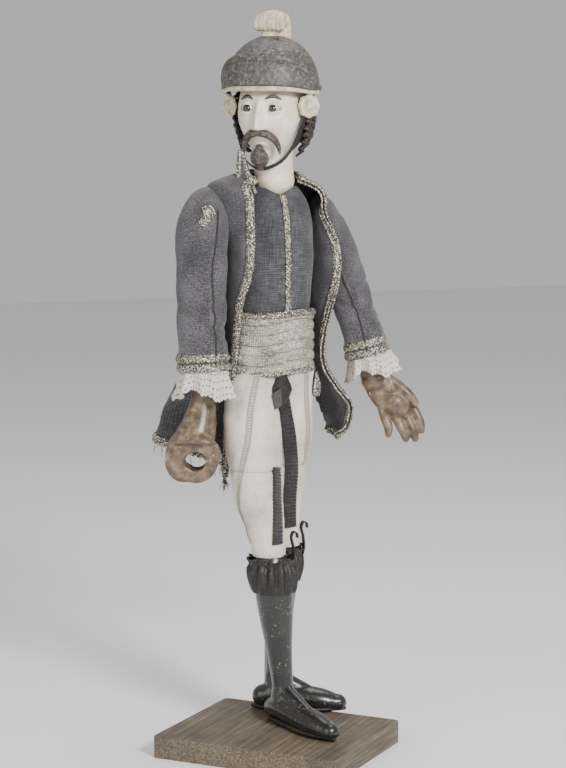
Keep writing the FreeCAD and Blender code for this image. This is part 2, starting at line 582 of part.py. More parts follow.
# ---- arms ------------------------------------------------------------------------------
for side, arm in arms.items():
    outward = 1 if side == "left" else -1
    shoulder = place(*arm["shoulder"])
    elbow = place(*arm["elbow"])
    wrist = place(*arm["wrist"])
    tip = place(*arm["tip"])
    upper = (elbow - shoulder).normalize()
    lower = (wrist - elbow).normalize()
    raiseAxis = Vector(0, 1, 0)
    reachOut = (wrist - shoulder).normalize()
    bendAxis = Vector(reachOut.z, 0, -reachOut.x).normalize()
    frontward = bendAxis.cross(lower).normalize()
    radius = cell("sleeveRadiusLeft" if side == "left" else "sleeveRadiusRight")
    feature(f"shoulder_peg_{side}", shoulderPegs[side])

    wood = capsule(shoulder, elbow, 8, 8)
    wood = wood.cut(slab(shoulder + Vector(-outward * 12, 0, 12), Vector(0, 0, 1), raiseAxis, 36, 36,
                         cell("tongueThick") + 2 * cell("slotGap")))
    wood = wood.cut(slab(shoulder + Vector(-outward * 18, 0, 8), Vector(0, 0, 1), raiseAxis, 28, 24,
                         2 * pegRadius + 1.4))
    wood = slotted(wood, elbow, upper * -1, bendAxis, 7, 30)
    wood = pinHole(pinHole(wood, shoulder, raiseAxis), elbow, bendAxis)
    feature(f"upper_arm_{side}", wood)
    group(f"upper_arm_pins_{side}", [pin(shoulder, raiseAxis, 6.5), pin(elbow, bendAxis, 6.5)])

    sleeve = capsule(shoulder, elbow, radius, radius - 0.5)
    sleeve = sleeve.cut(capsule(shoulder, elbow, cell("sleeveBore"), cell("sleeveBore")))
    sleeve = sleeve.cut(slab(shoulder + Vector(-outward * 20, 0, 17), Vector(0, 0, 1), raiseAxis, 46, 44,
                             2 * pegRadius + 2))
    # the front is open at the elbow, where the lower sleeve folds up
    sleeve = sleeve.cut(Part.makeSphere(radius + 0.6, elbow))
    fold = slab(elbow + frontward * 30 + upper * (30 - radius - 0.6), upper, bendAxis, 60, 60, 80)
    sleeve = sleeve.cut(fold)
    feature(f"sleeve_upper_{side}", sleeve.cut(slab(elbow + upper * 30, upper, bendAxis, 58, 80, 80)))

    bar = elbow + lower * 10
    barEnd = wrist - lower * 11
    forearm = rod(bar, barEnd, 7.5)
    forearm = tongueEnd(forearm, bar, elbow, bendAxis)
    wristAxis = bendAxis
    if side == "left":
        wristAxis = (raiseAxis - lower * raiseAxis.dot(lower)).normalize()
    forearm = tongueEnd(forearm, barEnd, wrist, wristAxis)
    feature(f"forearm_{side}", forearm)
    sleeveEnd = wrist - lower * (12 if side == "left" else 22)
    hose = taper(elbow, sleeveEnd, radius - 0.5, radius - 1.5)
    hose = hose.cut(rod(elbow - lower, sleeveEnd + lower, cell("sleeveBore")))
    # the upper arm's wood comes down over this notch as the elbow bends
    hose = hose.cut(slab(elbow + frontward * 20, lower, bendAxis, 20, 40, 18))
    feature(f"sleeve_lower_{side}", hose)
    laceEnd = sleeveEnd + lower * (20 if side == "right" else 11)
    lace = taper(sleeveEnd + lower * 0.2, laceEnd, radius - 4, radius - 0.5)
    lace = lace.cut(rod(sleeveEnd - lower, laceEnd + lower * 4, cell("sleeveBore") + 2.2))
    feature(f"cuff_lace_{side}", lace)

    along = (tip - wrist).normalize()
    if side == "right":
        palm = capsule(wrist, wrist + along * 22, 9, 12)
        fist = slab(tip + Vector(0, 0, 2), along, bendAxis, 44, 40, 36)
        fist = fist.makeFillet(9, fist.Edges)
        hand = palm.fuse(fist)
        gripAxis = Vector(0.342, 0.94, 0)
        grip = rod(tip - gripAxis * 40, tip + gripAxis * 40, cell("gripRadius"))
        hand = hand.cut(grip)
    else:
        acrossHand = Vector(0.94, -0.342, 0)
        acrossHand = (acrossHand - along * acrossHand.dot(along)).normalize()
        normal = along.cross(acrossHand).normalize()
        palm = capsule(wrist, wrist + along * 12, 8.5, 8.5)
        plate = slab(wrist + along * 26, along, normal, 30, 30, 10)
        plate = plate.makeFillet(4, plate.Edges)
        hand = palm.fuse(plate)
        for i, (spread, reach, lift) in enumerate([(-11.5, 62, 4), (-4, 68, 2), (4, 66, 1), (11, 58, 0)]):
            knuckle = wrist + along * 36 + acrossHand * spread
            end = wrist + along * reach + acrossHand * spread * 1.35 + normal * lift
            hand = hand.fuse(capsule(knuckle, end, 3.7, 2.9))
        thumbRoot = wrist + along * 16 + acrossHand * 11
        thumbEnd = wrist + along * 38 + acrossHand * 27 - normal * 3
        hand = hand.fuse(capsule(thumbRoot, thumbEnd, 4.6, 3.4))
    hand = slotted(hand, wrist, along, wristAxis, 7, 24)
    hand = hand.cut(slab(wrist - along * 12, along, wristAxis, 18, 30, 30))
    hand = pinHole(hand, wrist, wristAxis)
    feature(f"hand_{side}", hand)
    feature(f"wrist_pin_{side}", pin(wrist, wristAxis, 6.5))

# ---- checks and export -----------------------------------------------------------------
doc.recompute()
for obj in doc.Objects:
    if "Invalid" in obj.State or "Error" in obj.State:
        raise RuntimeError(f"{obj.Name} failed: {obj.State}")
for obj in nodes:
    shape = obj.Shape
    if shape.isNull() or not shape.isValid() or not shape.Solids:
        raise RuntimeError(f"{obj.Label} has no valid shape")
for obj in nodes:
    obj.Shape.exportStep(f"parts/{obj.Label}.step")
    box = obj.Shape.BoundBox
    print(f"{obj.Label:22s} solids {len(obj.Shape.Solids)} volume {obj.Shape.Volume:9.0f} "
          f"z {box.ZMin:6.1f} {box.ZMax:6.1f}")
print(len(nodes), "nodes")
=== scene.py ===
import bpy
import bmesh
import json
import math
import random
from mathutils import Matrix, Vector, noise


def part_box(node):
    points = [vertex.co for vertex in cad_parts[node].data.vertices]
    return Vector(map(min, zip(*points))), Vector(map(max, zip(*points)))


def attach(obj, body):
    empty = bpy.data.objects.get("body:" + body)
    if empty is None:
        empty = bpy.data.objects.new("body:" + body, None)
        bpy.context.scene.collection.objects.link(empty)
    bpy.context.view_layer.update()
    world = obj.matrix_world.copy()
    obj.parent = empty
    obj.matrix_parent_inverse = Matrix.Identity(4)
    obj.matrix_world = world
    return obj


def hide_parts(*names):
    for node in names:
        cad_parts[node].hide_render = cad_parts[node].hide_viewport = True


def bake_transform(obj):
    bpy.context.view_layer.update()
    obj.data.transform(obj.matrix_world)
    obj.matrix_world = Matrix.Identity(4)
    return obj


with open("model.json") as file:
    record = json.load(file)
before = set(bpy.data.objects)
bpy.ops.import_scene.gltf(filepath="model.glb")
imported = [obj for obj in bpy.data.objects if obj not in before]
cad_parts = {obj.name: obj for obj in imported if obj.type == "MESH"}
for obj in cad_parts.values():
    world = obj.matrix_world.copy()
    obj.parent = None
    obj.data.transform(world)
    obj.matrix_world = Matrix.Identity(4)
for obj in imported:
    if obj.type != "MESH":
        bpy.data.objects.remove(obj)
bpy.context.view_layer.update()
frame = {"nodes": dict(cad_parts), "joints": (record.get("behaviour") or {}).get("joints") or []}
random.seed(7)
mm = 0.001

joints = {j["name"]: j for j in frame["joints"]}


def jointAt(name):
    return Vector(joints[name]["pos_m"])


def middleOf(node):
    low, high = (Vector(corner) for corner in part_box(node))
    return (low + high) / 2


axisPoint = middleOf("waist_dowel")
axisPoint.z = 0


def at(dx, dy, z):
    # A point in millimetres from the figure's upright axis.
    return axisPoint + Vector((dx, dy, z)) * mm


def smoothstep(x, low, high):
    t = min(max((x - low) / (high - low), 0), 1)
    return t * t * (3 - 2 * t)


def bell(x, middle, width):
    # A smooth bump of height 1 round the middle.
    return math.exp(-((x - middle) / width) ** 2)


def blendPoint(points, t):
    # A smooth line through the points; t runs from 0 to 1.
    last = len(points) - 1
    place = min(max(t, 0), 1) * last
    i = min(int(place), last - 1)
    f = place - i
    a, b, c, d = (points[min(max(k, 0), last)] for k in (i - 1, i, i + 1, i + 2))
    a, b, c, d = (Vector(p) for p in (a, b, c, d))
    return 0.5 * (2 * b + (c - a) * f + (2 * a - 5 * b + 4 * c - d) * f * f
                  + (3 * b - 3 * c + d - a) * f * f * f)


def onPath(path, t):
    # The (u, v) place at t along a path of such places.
    return blendPoint([(u, v, 0) for u, v in path], min(max(t, 0), 1)).xy


def between(values, t):
    # A smooth number between the given ones.
    return blendPoint([(value, 0, 0) for value in values], t).x


def rough(point, sizeMm, seed=0):
    # Even noise from about -1 to 1 whose bumps are that far apart.
    return noise.noise(Vector(point) / (sizeMm * mm) + Vector((seed * 7.3, seed * 3.1, seed)))


def linked(thing):
    bpy.context.scene.collection.objects.link(thing)
    return thing


def finished(name, data, material, smooth=True):
    data.materials.clear()
    data.materials.append(material)
    for face in data.polygons:
        face.use_smooth = smooth
    return linked(bpy.data.objects.new(name, data))


def toObject(name, mesh, material, smooth=True):
    data = bpy.data.meshes.new(name)
    mesh.to_mesh(data)
    mesh.free()
    return finished(name, data, material, smooth)


def carried(piece, body, slot, *nodes):
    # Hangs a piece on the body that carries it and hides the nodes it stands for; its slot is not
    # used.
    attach(piece, body)
    if nodes:
        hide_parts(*nodes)


def evaluatedMesh(thing):
    return bpy.data.meshes.new_from_object(
        thing.evaluated_get(bpy.context.evaluated_depsgraph_get()))


def thicken(piece, wallMm):
    wall = piece.modifiers.new("wall", "SOLIDIFY")
    wall.thickness = wallMm * mm
    wall.offset = 0


def soften(piece, levels=1):
    curve = piece.modifiers.new("soft", "SUBSURF")
    curve.levels = levels
    curve.render_levels = levels


def settle(piece):
    # Applies the live modifiers, so the mesh itself is the finished one.
    data = evaluatedMesh(piece)
    piece.modifiers.clear()
    old = piece.data
    piece.data = data
    bpy.data.meshes.remove(old)
    for face in piece.data.polygons:
        face.use_smooth = True


def faceOut(mesh):
    # Turns an open tube or sheet so that its faces look away from its own upright middle.
    bmesh.ops.recalc_face_normals(mesh, faces=mesh.faces)
    middle = sum((v.co for v in mesh.verts), Vector()) / len(mesh.verts)
    lean = 0
    for face in mesh.faces:
        centre = face.calc_center_median()
        away = centre - middle
        lean += face.normal.dot(Vector((away.x, away.y, away.z * 0.1))) * face.calc_area()
    if lean < 0:
        bmesh.ops.reverse_faces(mesh, faces=mesh.faces)


def surface(name, across, along, shape, material, flat, closed=False, capped=False, out=None):
    # A grid bent into place: shape takes u and v from 0 to 1. Its UV map is in metres of cloth.
    mesh = bmesh.new()
    sheetMap = mesh.loops.layers.uv.new("UVMap")
    bmesh.ops.create_grid(mesh, x_segments=across, y_segments=along, size=0.5)
    flatPlace = {v: (v.co.x + 0.5, v.co.y + 0.5) for v in mesh.verts}
    for face in mesh.faces:
        for loop in face.loops:
            u, v = flatPlace[loop.vert]
            loop[sheetMap].uv = (u * flat[0], v * flat[1])
    for vert, (u, v) in flatPlace.items():
        vert.co = shape(u, v)
    if closed:
        bmesh.ops.remove_doubles(mesh, verts=mesh.verts, dist=0.01 * mm)
    if capped:
        edges = [e for e in mesh.edges if e.is_boundary]
        bmesh.ops.holes_fill(mesh, edges=edges, sides=0)
        bmesh.ops.recalc_face_normals(mesh, faces=mesh.faces)
    elif out is None:
        faceOut(mesh)
    else:
        bmesh.ops.recalc_face_normals(mesh, faces=mesh.faces)
        if sum((f.normal.dot(out) * f.calc_area() for f in mesh.faces), 0) < 0:
            bmesh.ops.reverse_faces(mesh, faces=mesh.faces)
    return toObject(name, mesh, material)


def cutAway(piece, gone):
    # Deletes the faces whose middle, as u and v in metres of cloth, is in the opening.
    mesh = bmesh.new()
    mesh.from_mesh(piece.data)
    sheetMap = mesh.loops.layers.uv[0]
    faces = []
    for face in mesh.faces:
        u, v = (sum(loop[sheetMap].uv[i] for loop in face.loops) / len(face.loops) for i in (0, 1))
        if gone(u, v):
            faces.append(face)
    bmesh.ops.delete(mesh, geom=faces, context="FACES")
    mesh.to_mesh(piece.data)
    mesh.free()


def carveOut(piece, mesh):
    # Cuts the shape of one mesh out of a finished piece.
    tool = toObject("cutter", mesh, piece.data.materials[0])
    bore = piece.modifiers.new("bore", "BOOLEAN")
    bore.operation = "DIFFERENCE"
    bore.object = tool
    bore.solver = "EXACT"
    settle(piece)
    bpy.data.objects.remove(tool)


def strands(name, lines, radiusMm, material, sides=2, widths=None):
    # Round threads along lines of points, as one mesh.
    curve = bpy.data.curves.new(name, "CURVE")
    curve.dimensions = "3D"
    curve.bevel_depth = radiusMm * mm
    curve.bevel_resolution = sides
    curve.use_fill_caps = True
    for k, line in enumerate(lines):
        spline = curve.splines.new("POLY")
        spline.points.add(len(line) - 1)
        for i, (point, place) in enumerate(zip(spline.points, line)):
            point.co = (*place, 1)
            point.radius = widths[k][i] if widths else 1
    guide = linked(bpy.data.objects.new(name + "Guide", curve))
    data = evaluatedMesh(guide)
    bpy.data.objects.remove(guide)
    bpy.data.curves.remove(curve)
    data.name = name
    return finished(name, data, material)


def gimp(name, shape, path, material, widthMm=8, stepMm=5, liftMm=0.9, ownTube=False):
    # A plaited metal-thread braid laid along a path of (u, v) places on a surface.
    # ownTube says that the surface is a tube about its own line, not about the figure.
    fine, samples = 0.002, 240
    places = [shape(*onPath(path, i / samples)) for i in range(samples + 1)]
    length = sum((b - a).length for a, b in zip(places, places[1:]))
    count = int(length / (stepMm * mm) * 8)
    lines = [[], [], [], []]
    for i in range(count + 1):
        t = i / count
        u, v = onPath(path, t)
        point = shape(u, v)
        along = (shape(*onPath(path, t + fine)) - shape(*onPath(path, t - fine))).normalized()
        up = (shape(u + fine, v) - shape(u - fine, v)).cross(
            shape(u, v + fine) - shape(u, v - fine))
        up.normalize()
        outward = point - shape(u + 0.5, v) if ownTube else (point - axisPoint) * Vector((1, 1, 0))
        if up.dot(outward) < 0:
            up.negate()
        side = up.cross(along).normalized()
        turn = t * length / (stepMm * mm) * math.tau
        half = widthMm * mm * 0.36
        for k, line in enumerate(lines[:3]):
            phase = turn + k * math.tau / 3
            line.append(point + side * half * math.sin(phase)
                        + up * (liftMm + 0.5 * math.cos(2 * phase)) * mm)
        picot = math.sin(turn * 2)
        lines[3].append(point + side * half * (1.25 + 0.3 * picot) + up * liftMm * mm * 0.6)
    return strands(name, lines, 0.85, material, sides=1)


def fused(name, parts, material, voxelMm=1.0, smoothing=4):
    # Carves one solid out of overlapping closed shapes and rounds where they meet.
    mesh = bmesh.new()
    for part in parts:
        part(mesh)
    bmesh.ops.recalc_face_normals(mesh, faces=mesh.faces)
    piece = toObject(name, mesh, material)
    carve = piece.modifiers.new("carve", "REMESH")
    carve.mode = "VOXEL"
    carve.voxel_size = voxelMm * mm
    rounding = piece.modifiers.new("round", "SMOOTH")
    rounding.iterations = smoothing
    rounding.factor = 0.5
    settle(piece)
    return piece


def runOf(line, t, step=0.01):
    # The direction of a line of points at t.
    return (blendPoint(line, min(t + step, 1)) - blendPoint(line, max(t - step, 0))).normalized()


def limb(line, radii, flatten=1.0, across=Vector((1, 0, 0)), sides=20):
    # A closed round shape along a line of points; its radii are in millimetres.
    radii = [r * mm for r in radii]

    def build(mesh):
        steps = 6 * (len(line) - 1)
        edges = []
        for i in range(steps + 1):
            centre = blendPoint(line, i / steps)
            radius = between(radii, i / steps)
            forward = runOf(line, i / steps)
            side = (across - forward * across.dot(forward)).normalized()
            turn = Matrix((side, forward.cross(side), forward)).transposed().to_4x4()
            scale = Matrix.Diagonal((radius, radius * flatten, 1, 1))
            ring = bmesh.ops.create_circle(mesh, segments=sides, radius=1,
                                           matrix=Matrix.Translation(centre) @ turn @ scale)["verts"]
            edges.append(list({e for v in ring for e in v.link_edges}))
        for one, two in zip(edges, edges[1:]):
            bmesh.ops.bridge_loops(mesh, edges=one + two)
        for end in (edges[0], edges[-1]):
            bmesh.ops.holes_fill(mesh, edges=end, sides=0)
        for centre, radius in ((line[0], radii[0]), (line[-1], radii[-1])):
            ball = Matrix.Translation(centre)
            bmesh.ops.create_icosphere(mesh, subdivisions=3, radius=radius * 0.98, matrix=ball)
    return build


def colour(code):
    # An sRGB hex colour as linear values.
    parts = [int(code[i:i + 2], 16) / 255 for i in (1, 3, 5)]
    return (*[p / 12.92 if p <= 0.04045 else ((p + 0.055) / 1.055) ** 2.4 for p in parts], 1)


def addNode(tree, kind, inputs, stops=(), **settings):
    # An input may be a value, a socket, or a node whose first output is meant.
    node = tree.nodes.new("ShaderNode" + kind)
    stops = list(stops)
    for key, value in settings.items():
        setattr(node, key, value)
    for i, (place, code) in enumerate(stops):
        line = node.color_ramp.elements
        stop = line.new(place) if 0 < i < len(stops) - 1 else line[-1 if i else 0]
        stop.position, stop.color = place, colour(code)
    for key, value in inputs.items():
        if isinstance(value, bpy.types.Node):
            value = value.outputs[0]
        if isinstance(value, bpy.types.NodeSocket):
            tree.links.new(value, node.inputs[key])
        else:
            node.inputs[key].default_value = value
    return node


def startMaterial(name, **shader):
    material = bpy.data.materials.new(name)
    material.use_nodes = True
    tree = material.node_tree
    surfaceNode = tree.nodes["Principled BSDF"]
    for key, value in shader.items():
        surfaceNode.inputs[key.replace("_", " ")].default_value = value
    return material, tree, surfaceNode


def endMaterial(material, tone, height, strength, depthMm):
    # Joins the tone and the fine relief of a material to its surface.
    tree = material.node_tree
    shader = tree.nodes["Principled BSDF"]
    bump = addNode(tree, "Bump", {"Height": height, "Strength": strength,
                                  "Distance": depthMm * mm})
    tree.links.new(tone, shader.inputs["Base Color"])
    tree.links.new(bump.outputs["Normal"], shader.inputs["Normal"])
    return material


def oldPaint(name, tones, chip, chipShare, roughness, spotMm=9, chipMm=4, coat=0.0, dent=0.25):
    # Oil paint on carved, gessoed wood: mottled, rubbed and chipped to the ground below.
    material, tree, _ = startMaterial(name, Roughness=roughness, Coat_Weight=coat,
                                      Coat_Roughness=0.25)
    place = addNode(tree, "TexCoord", {}).outputs["Object"]
    spots = addNode(tree, "TexNoise", {"Vector": place, "Scale": 1000 / spotMm, "Detail": 6.0,
                                       "Roughness": 0.65})
    body = addNode(tree, "ValToRGB", {"Fac": spots}, stops=zip((0.3, 0.5, 0.7), tones))
    flakes = addNode(tree, "TexNoise", {"Vector": place, "Scale": 1000 / chipMm, "Detail": 8.0,
                                        "Roughness": 0.72, "Distortion": 0.6})
    edge = 0.5 + (1 - chipShare) * 0.22
    bare = addNode(tree, "MapRange", {"Value": flakes, "From Min": edge, "From Max": edge + 0.035})
    mixed = addNode(tree, "Mix", {"Factor": bare, "A": body, "B": colour(chip)}, data_type="RGBA")
    low = addNode(tree, "Math", {0: bare, 1: -0.6}, operation="MULTIPLY")
    grit = addNode(tree, "TexNoise", {"Vector": place, "Scale": 1000 / 1.6, "Detail": 3.0})
    height = addNode(tree, "Math", {0: low, 1: grit}, operation="ADD")
    return endMaterial(material, mixed.outputs[2], height, dent, 0.6)


def wovenCloth(name, tones, threadMm, slubMm, roughness=0.9, sheen=0.3, metal=0.0, dent=0.5,
               stain=None):
    # Plain woven cloth on its own UV map in metres; slubs run along the weft.
    material, tree, _ = startMaterial(name, Roughness=roughness, Sheen_Weight=sheen,
                                      Sheen_Roughness=0.5, Metallic=metal)
    place = addNode(tree, "TexCoord", {}).outputs["UV"]
    waves = []
    for direction in ("X", "Y"):
        waves.append(addNode(tree, "TexWave", {"Vector": place, "Scale": 314 / threadMm,
                                               "Distortion": 1.2, "Detail": 2.0, "Detail Scale": 2.0},
                             bands_direction=direction).outputs["Fac"])
    weave = addNode(tree, "Math", {0: waves[0], 1: waves[1]}, operation="MULTIPLY")
    streaks = []
    for stretch in ((1000 / slubMm, 1000 / threadMm, 1), (1000 / threadMm, 1000 / slubMm, 1)):
        laid = addNode(tree, "Mapping", {"Vector": place, "Scale": stretch})
        streaks.append(addNode(tree, "TexNoise", {"Vector": laid, "Scale": 1.0, "Detail": 4.0,
                                                  "Roughness": 0.7}))
    slub = addNode(tree, "Math", {0: streaks[0], 1: streaks[1]}, operation="ADD")
    patchy = addNode(tree, "TexNoise", {"Vector": place, "Scale": 1000 / 30, "Detail": 3.0})
    total = 0.0
    for part, share in ((slub, 0.42), (patchy, 0.35), (weave, 0.12)):
        total = addNode(tree, "Math", {0: part, 1: share, 2: total}, operation="MULTIPLY_ADD")
    body = addNode(tree, "ValToRGB", {"Fac": total},
                   stops=zip((0.42, 0.6, 0.78), tones)).outputs["Color"]
    if stain:
        dirt = addNode(tree, "TexNoise", {"Vector": place, "Scale": 1000 / 45, "Detail": 5.0,
                                          "Roughness": 0.6})
        share = addNode(tree, "MapRange", {"Value": dirt, "From Min": 0.46, "From Max": 0.72,
                                           "To Max": 0.7})
        body = addNode(tree, "Mix", {"Factor": share, "A": body, "B": colour(stain)},
                       data_type="RGBA").outputs[2]
    lift = addNode(tree, "Math", {0: weave, 1: slub}, operation="ADD")
    return endMaterial(material, body, lift, dent, 0.6)


def plainWood(name, tones, grainMm, roughness, turn=0.0, dent=0.3):
    # Sawn softwood: long grain streaks with darker late wood, rubbed and dirty.
    material, tree, _ = startMaterial(name, Roughness=roughness)
    place = addNode(tree, "TexCoord", {}).outputs["Object"]
    turned = addNode(tree, "Mapping", {"Vector": place, "Rotation": (0, 0, turn)})
    laid = addNode(tree, "Mapping", {"Vector": turned,
                                     "Scale": (12, 1000 / grainMm, 1000 / grainMm)})
    grain = addNode(tree, "TexNoise", {"Vector": laid, "Scale": 1.0, "Detail": 5.0,
                                       "Roughness": 0.6, "Distortion": 0.5})
    body = addNode(tree, "ValToRGB", {"Fac": grain}, stops=zip((0.32, 0.52, 0.72), tones))
    dirt = addNode(tree, "TexNoise", {"Vector": place, "Scale": 1000 / 28, "Detail": 6.0})
    share = addNode(tree, "MapRange", {"Value": dirt, "From Min": 0.45, "From Max": 0.75,
                                       "To Max": 0.6})
    mixed = addNode(tree, "Mix", {"Factor": share, "A": body, "B": colour(tones[0])},
                    data_type="RGBA")
    return endMaterial(material, mixed.outputs[2], grain, dent, 0.5)


def metalThread(name, tones, roughness):
    # Tarnished metal thread: bright where it is rubbed, dark in the twist.
    material, tree, _ = startMaterial(name, Roughness=roughness, Metallic=0.55)
    place = addNode(tree, "TexCoord", {}).outputs["Object"]
    twist = addNode(tree, "TexNoise", {"Vector": place, "Scale": 1000 / 1.4, "Detail": 3.0,
                                       "Roughness": 0.7})
    body = addNode(tree, "ValToRGB", {"Fac": twist}, stops=zip((0.35, 0.5, 0.62), tones))
    return endMaterial(material, body.outputs["Color"], twist, 0.6, 0.4)


def plainGloss(name, code, roughness, metal=0.0, coat=0.0):
    # One even finish with a fine unevenness in its polish.
    material, tree, _ = startMaterial(name, Roughness=roughness, Metallic=metal,
                                      Coat_Weight=coat, Coat_Roughness=0.05)
    place = addNode(tree, "TexCoord", {}).outputs["Object"]
    haze = addNode(tree, "TexNoise", {"Vector": place, "Scale": 1000 / 5, "Detail": 4.0})
    body = addNode(tree, "Mix", {"Factor": haze, "A": colour(code),
                                 "B": (*[c * 0.7 for c in colour(code)[:3]], 1)},
                   data_type="RGBA")
    return endMaterial(material, body.outputs[2], haze, 0.08, 0.3)


# smooth oil flesh paint, softly glossy, with a few chips to the brown ground
facePaint = oldPaint("fleshOilPaintOnGesso", ("#d9c9ae", "#e8dac3", "#f3e9d8"), "#8d7358", 0.3, 0.42,
                     spotMm=14, chipMm=5, coat=0.25, dent=0.12)
# the same flesh paint, browned by handling, with pale worn places
handPaint = oldPaint("wornFleshPaintOnLimewood", ("#3a2e26", "#66533f", "#94806a"), "#c9b99f", 0.34,
                     0.42, spotMm=8, chipMm=5, coat=0.25)
# matt umber brushed over carved hair, pale where ridges are rubbed
hairPaint = oldPaint("umberOilPaint", ("#28221e", "#4a4039", "#776a5e"), "#a09383", 0.4, 0.55,
                     spotMm=3, chipMm=1.6)
# near-black paint that keeps the curls as dark lumps
curlPaint = oldPaint("nearBlackHairPaint", ("#1f1a17", "#332a25", "#54483e"), "#7d6c5c", 0.35, 0.6,
                     spotMm=3, chipMm=2)
# lampblack worn through to grey ground, so it looks mottled and dull
helmetPaint = oldPaint("wornLampblackPaint", ("#2a2725", "#4d4945", "#77716a"), "#a89f90", 0.62, 0.5,
                       spotMm=3.5, chipMm=1.8, dent=0.5)
# rubbed chalk ground, matt and creamy, dirty in its hollows
gessoPaint = oldPaint("rubbedGessoOnLimewood", ("#a3937a", "#cbbda2", "#e6dcc8"), "#6d5b47", 0.3, 0.6,
                      spotMm=6, chipMm=3)
# hard black enamel with a clear shine and pale chips
bootPaint = oldPaint("chippedBlackEnamel", ("#0b0a0a", "#151413", "#272423"), "#94836c", 0.52, 0.28,
                     spotMm=12, chipMm=3.5, coat=0.5, dent=0.3)
# thin soft leather, dark and dull, creased along its folds
bootLeather = oldPaint("thinBlackGloveLeather", ("#141211", "#211e1c", "#35302c"), "#4a433c", 0.4,
                       0.5, spotMm=3, chipMm=1.5, dent=0.5)
# narrow black leather with a low shine
strapLeather = oldPaint("narrowBlackStrapLeather", ("#0e0c0b", "#1a1614", "#2b2622"), "#6c5f50", 0.3,
                        0.45, spotMm=3, chipMm=2)
# waxed softwood with long streaks of darker grain
boardWood = plainWood("waxedPineBoard", ("#3f362c", "#6a5d4d", "#8f806b"), 1.8, 0.62,
                      turn=math.radians(-45.7))
# plain pale carving wood, seen only where cloth opens
bareWood = plainWood("bareCarvedLimewood", ("#8a6b48", "#b08b62", "#c9a67c"), 1.5, 0.6, turn=0.0)
# felted wool: dark, matt and flecked with grey fibre
coatCloth = wovenCloth("feltedWoolCloth", ("#161517", "#3d3b3e", "#7d797d"), 1.0, 2.2, sheen=0.18)
# smoother wool with a visible plain weave
vestCloth = wovenCloth("plainWoolCloth", ("#19191b", "#39393c", "#68676b"), 1.1, 9, sheen=0.15)
# cream cotton twill with grey-brown dirt in patches
trouserCloth = wovenCloth("creamCottonTwill", ("#bdb4a2", "#ddd6c6", "#f0ebdf"), 1.1, 12, sheen=0.15,
                          stain="#8d8373", dent=0.45)
# metal-thread cloth of a grey-gold tone; the near-black and near-white specks in its colour are
# painted shade and painted highlights, standing for the glints on its crushed ridges
lameClothWithPaintedGlints = wovenCloth("crushedLameWithPaintedGlints", ("#37332c", "#a39c8b", "#fffaf0"), 1.8, 4, roughness=0.36,
                       sheen=0.1, metal=0.5, dent=1.0)
# thin pale cotton, matt, with a coarse open weave
laceCloth = wovenCloth("gatheredCottonLace", ("#b9b09d", "#e6dfd0", "#f8f3e8"), 1.4, 3, sheen=0.2,
                       dent=0.8)
# metal thread gone dark in its twists, bright on its tops
gimpThread = metalThread("tarnishedGimpThread", ("#1b1917", "#6f695c", "#f0ebdd"), 0.36)
# black silk with a faint sheen across its ribs
ribbonDark = wovenCloth("ribbedSilkRibbon", ("#0d0c0c", "#1f1d1d", "#444041"), 1.2, 6, sheen=0.3)
# off-white cotton braid, matt
ladderCotton = wovenCloth("ladderBraidCotton", ("#7d7567", "#b3aa99", "#ddd6c8"), 1.2, 3)
# glossy ivory enamel that catches the key light
eyeWhite = plainGloss("eyeWhiteEnamel", "#cfc3ae", 0.12, coat=1.0)
eyeDark = plainGloss("eyeBrownEnamel", "#1b120c", 0.06, coat=1.0)
# drawn wire, a dull metal grey with stretched highlights
steel = plainGloss("drawnSteelWire", "#8c8c8e", 0.38, metal=1.0)
# plain brown leather, dry and dull
thongLeather = oldPaint("plainThongLeather", ("#4a3423", "#63472f", "#7d5d41"), "#93765a", 0.2, 0.6)

sides = ("right", "left")
for names, material in (
        (["base_board"], boardWood),
        (["hip_thongs"], thongLeather),
        (["support_rod", "rod_bracket", "bracket_screws", "neck_pin"]
         + [f"{pin}_{side}" for side in sides
            for pin in ("upper_arm_pins", "wrist_pin", "thigh_pins", "ankle_pin")], steel),
        (["pelvis_block", "waist_dowel", "chest_block", "neck_peg"]
         + [f"{part}_{side}" for side in sides
            for part in ("shoulder_peg", "upper_arm", "forearm", "thigh")], bareWood)):
    for name in names:
        frame["nodes"][name].data.materials.clear()
        frame["nodes"][name].data.materials.append(material)
print("materials ready")

view = {"azimuth": -20.0, "distance": 1.978, "height": 0.573, "tilt": 7.5, "aside": 0.0086,
        "lens": 108.4}
turn = math.radians(view["azimuth"])
camRight = Vector((math.cos(turn), math.sin(turn), 0))
camAhead = Vector((-math.sin(turn), math.cos(turn), 0))
camera = bpy.data.objects.new("camera", bpy.data.cameras.new("camera"))
camera.data.lens = view["lens"]
camera.data.sensor_width = 36
camera.location = axisPoint + camRight * view["aside"] - camAhead * view["distance"]
camera.location.z = view["height"]
camera.rotation_euler = (math.radians(90 - view["tilt"]), 0, turn)
bpy.context.scene.collection.objects.link(camera)
bpy.context.scene.camera = camera


def softLight(name, right, ahead, height, size, watts, aim=0.33):
    light = bpy.data.objects.new(name, bpy.data.lights.new(name, "AREA"))
    light.data.size = size
    light.data.energy = watts
    light.location = axisPoint + camRight * right + camAhead * ahead
    light.location.z = height
    target = axisPoint + Vector((0, 0, aim))
    light.rotation_euler = (target - light.location).to_track_quat("-Z", "Y").to_euler()
    bpy.context.scene.collection.objects.link(light)


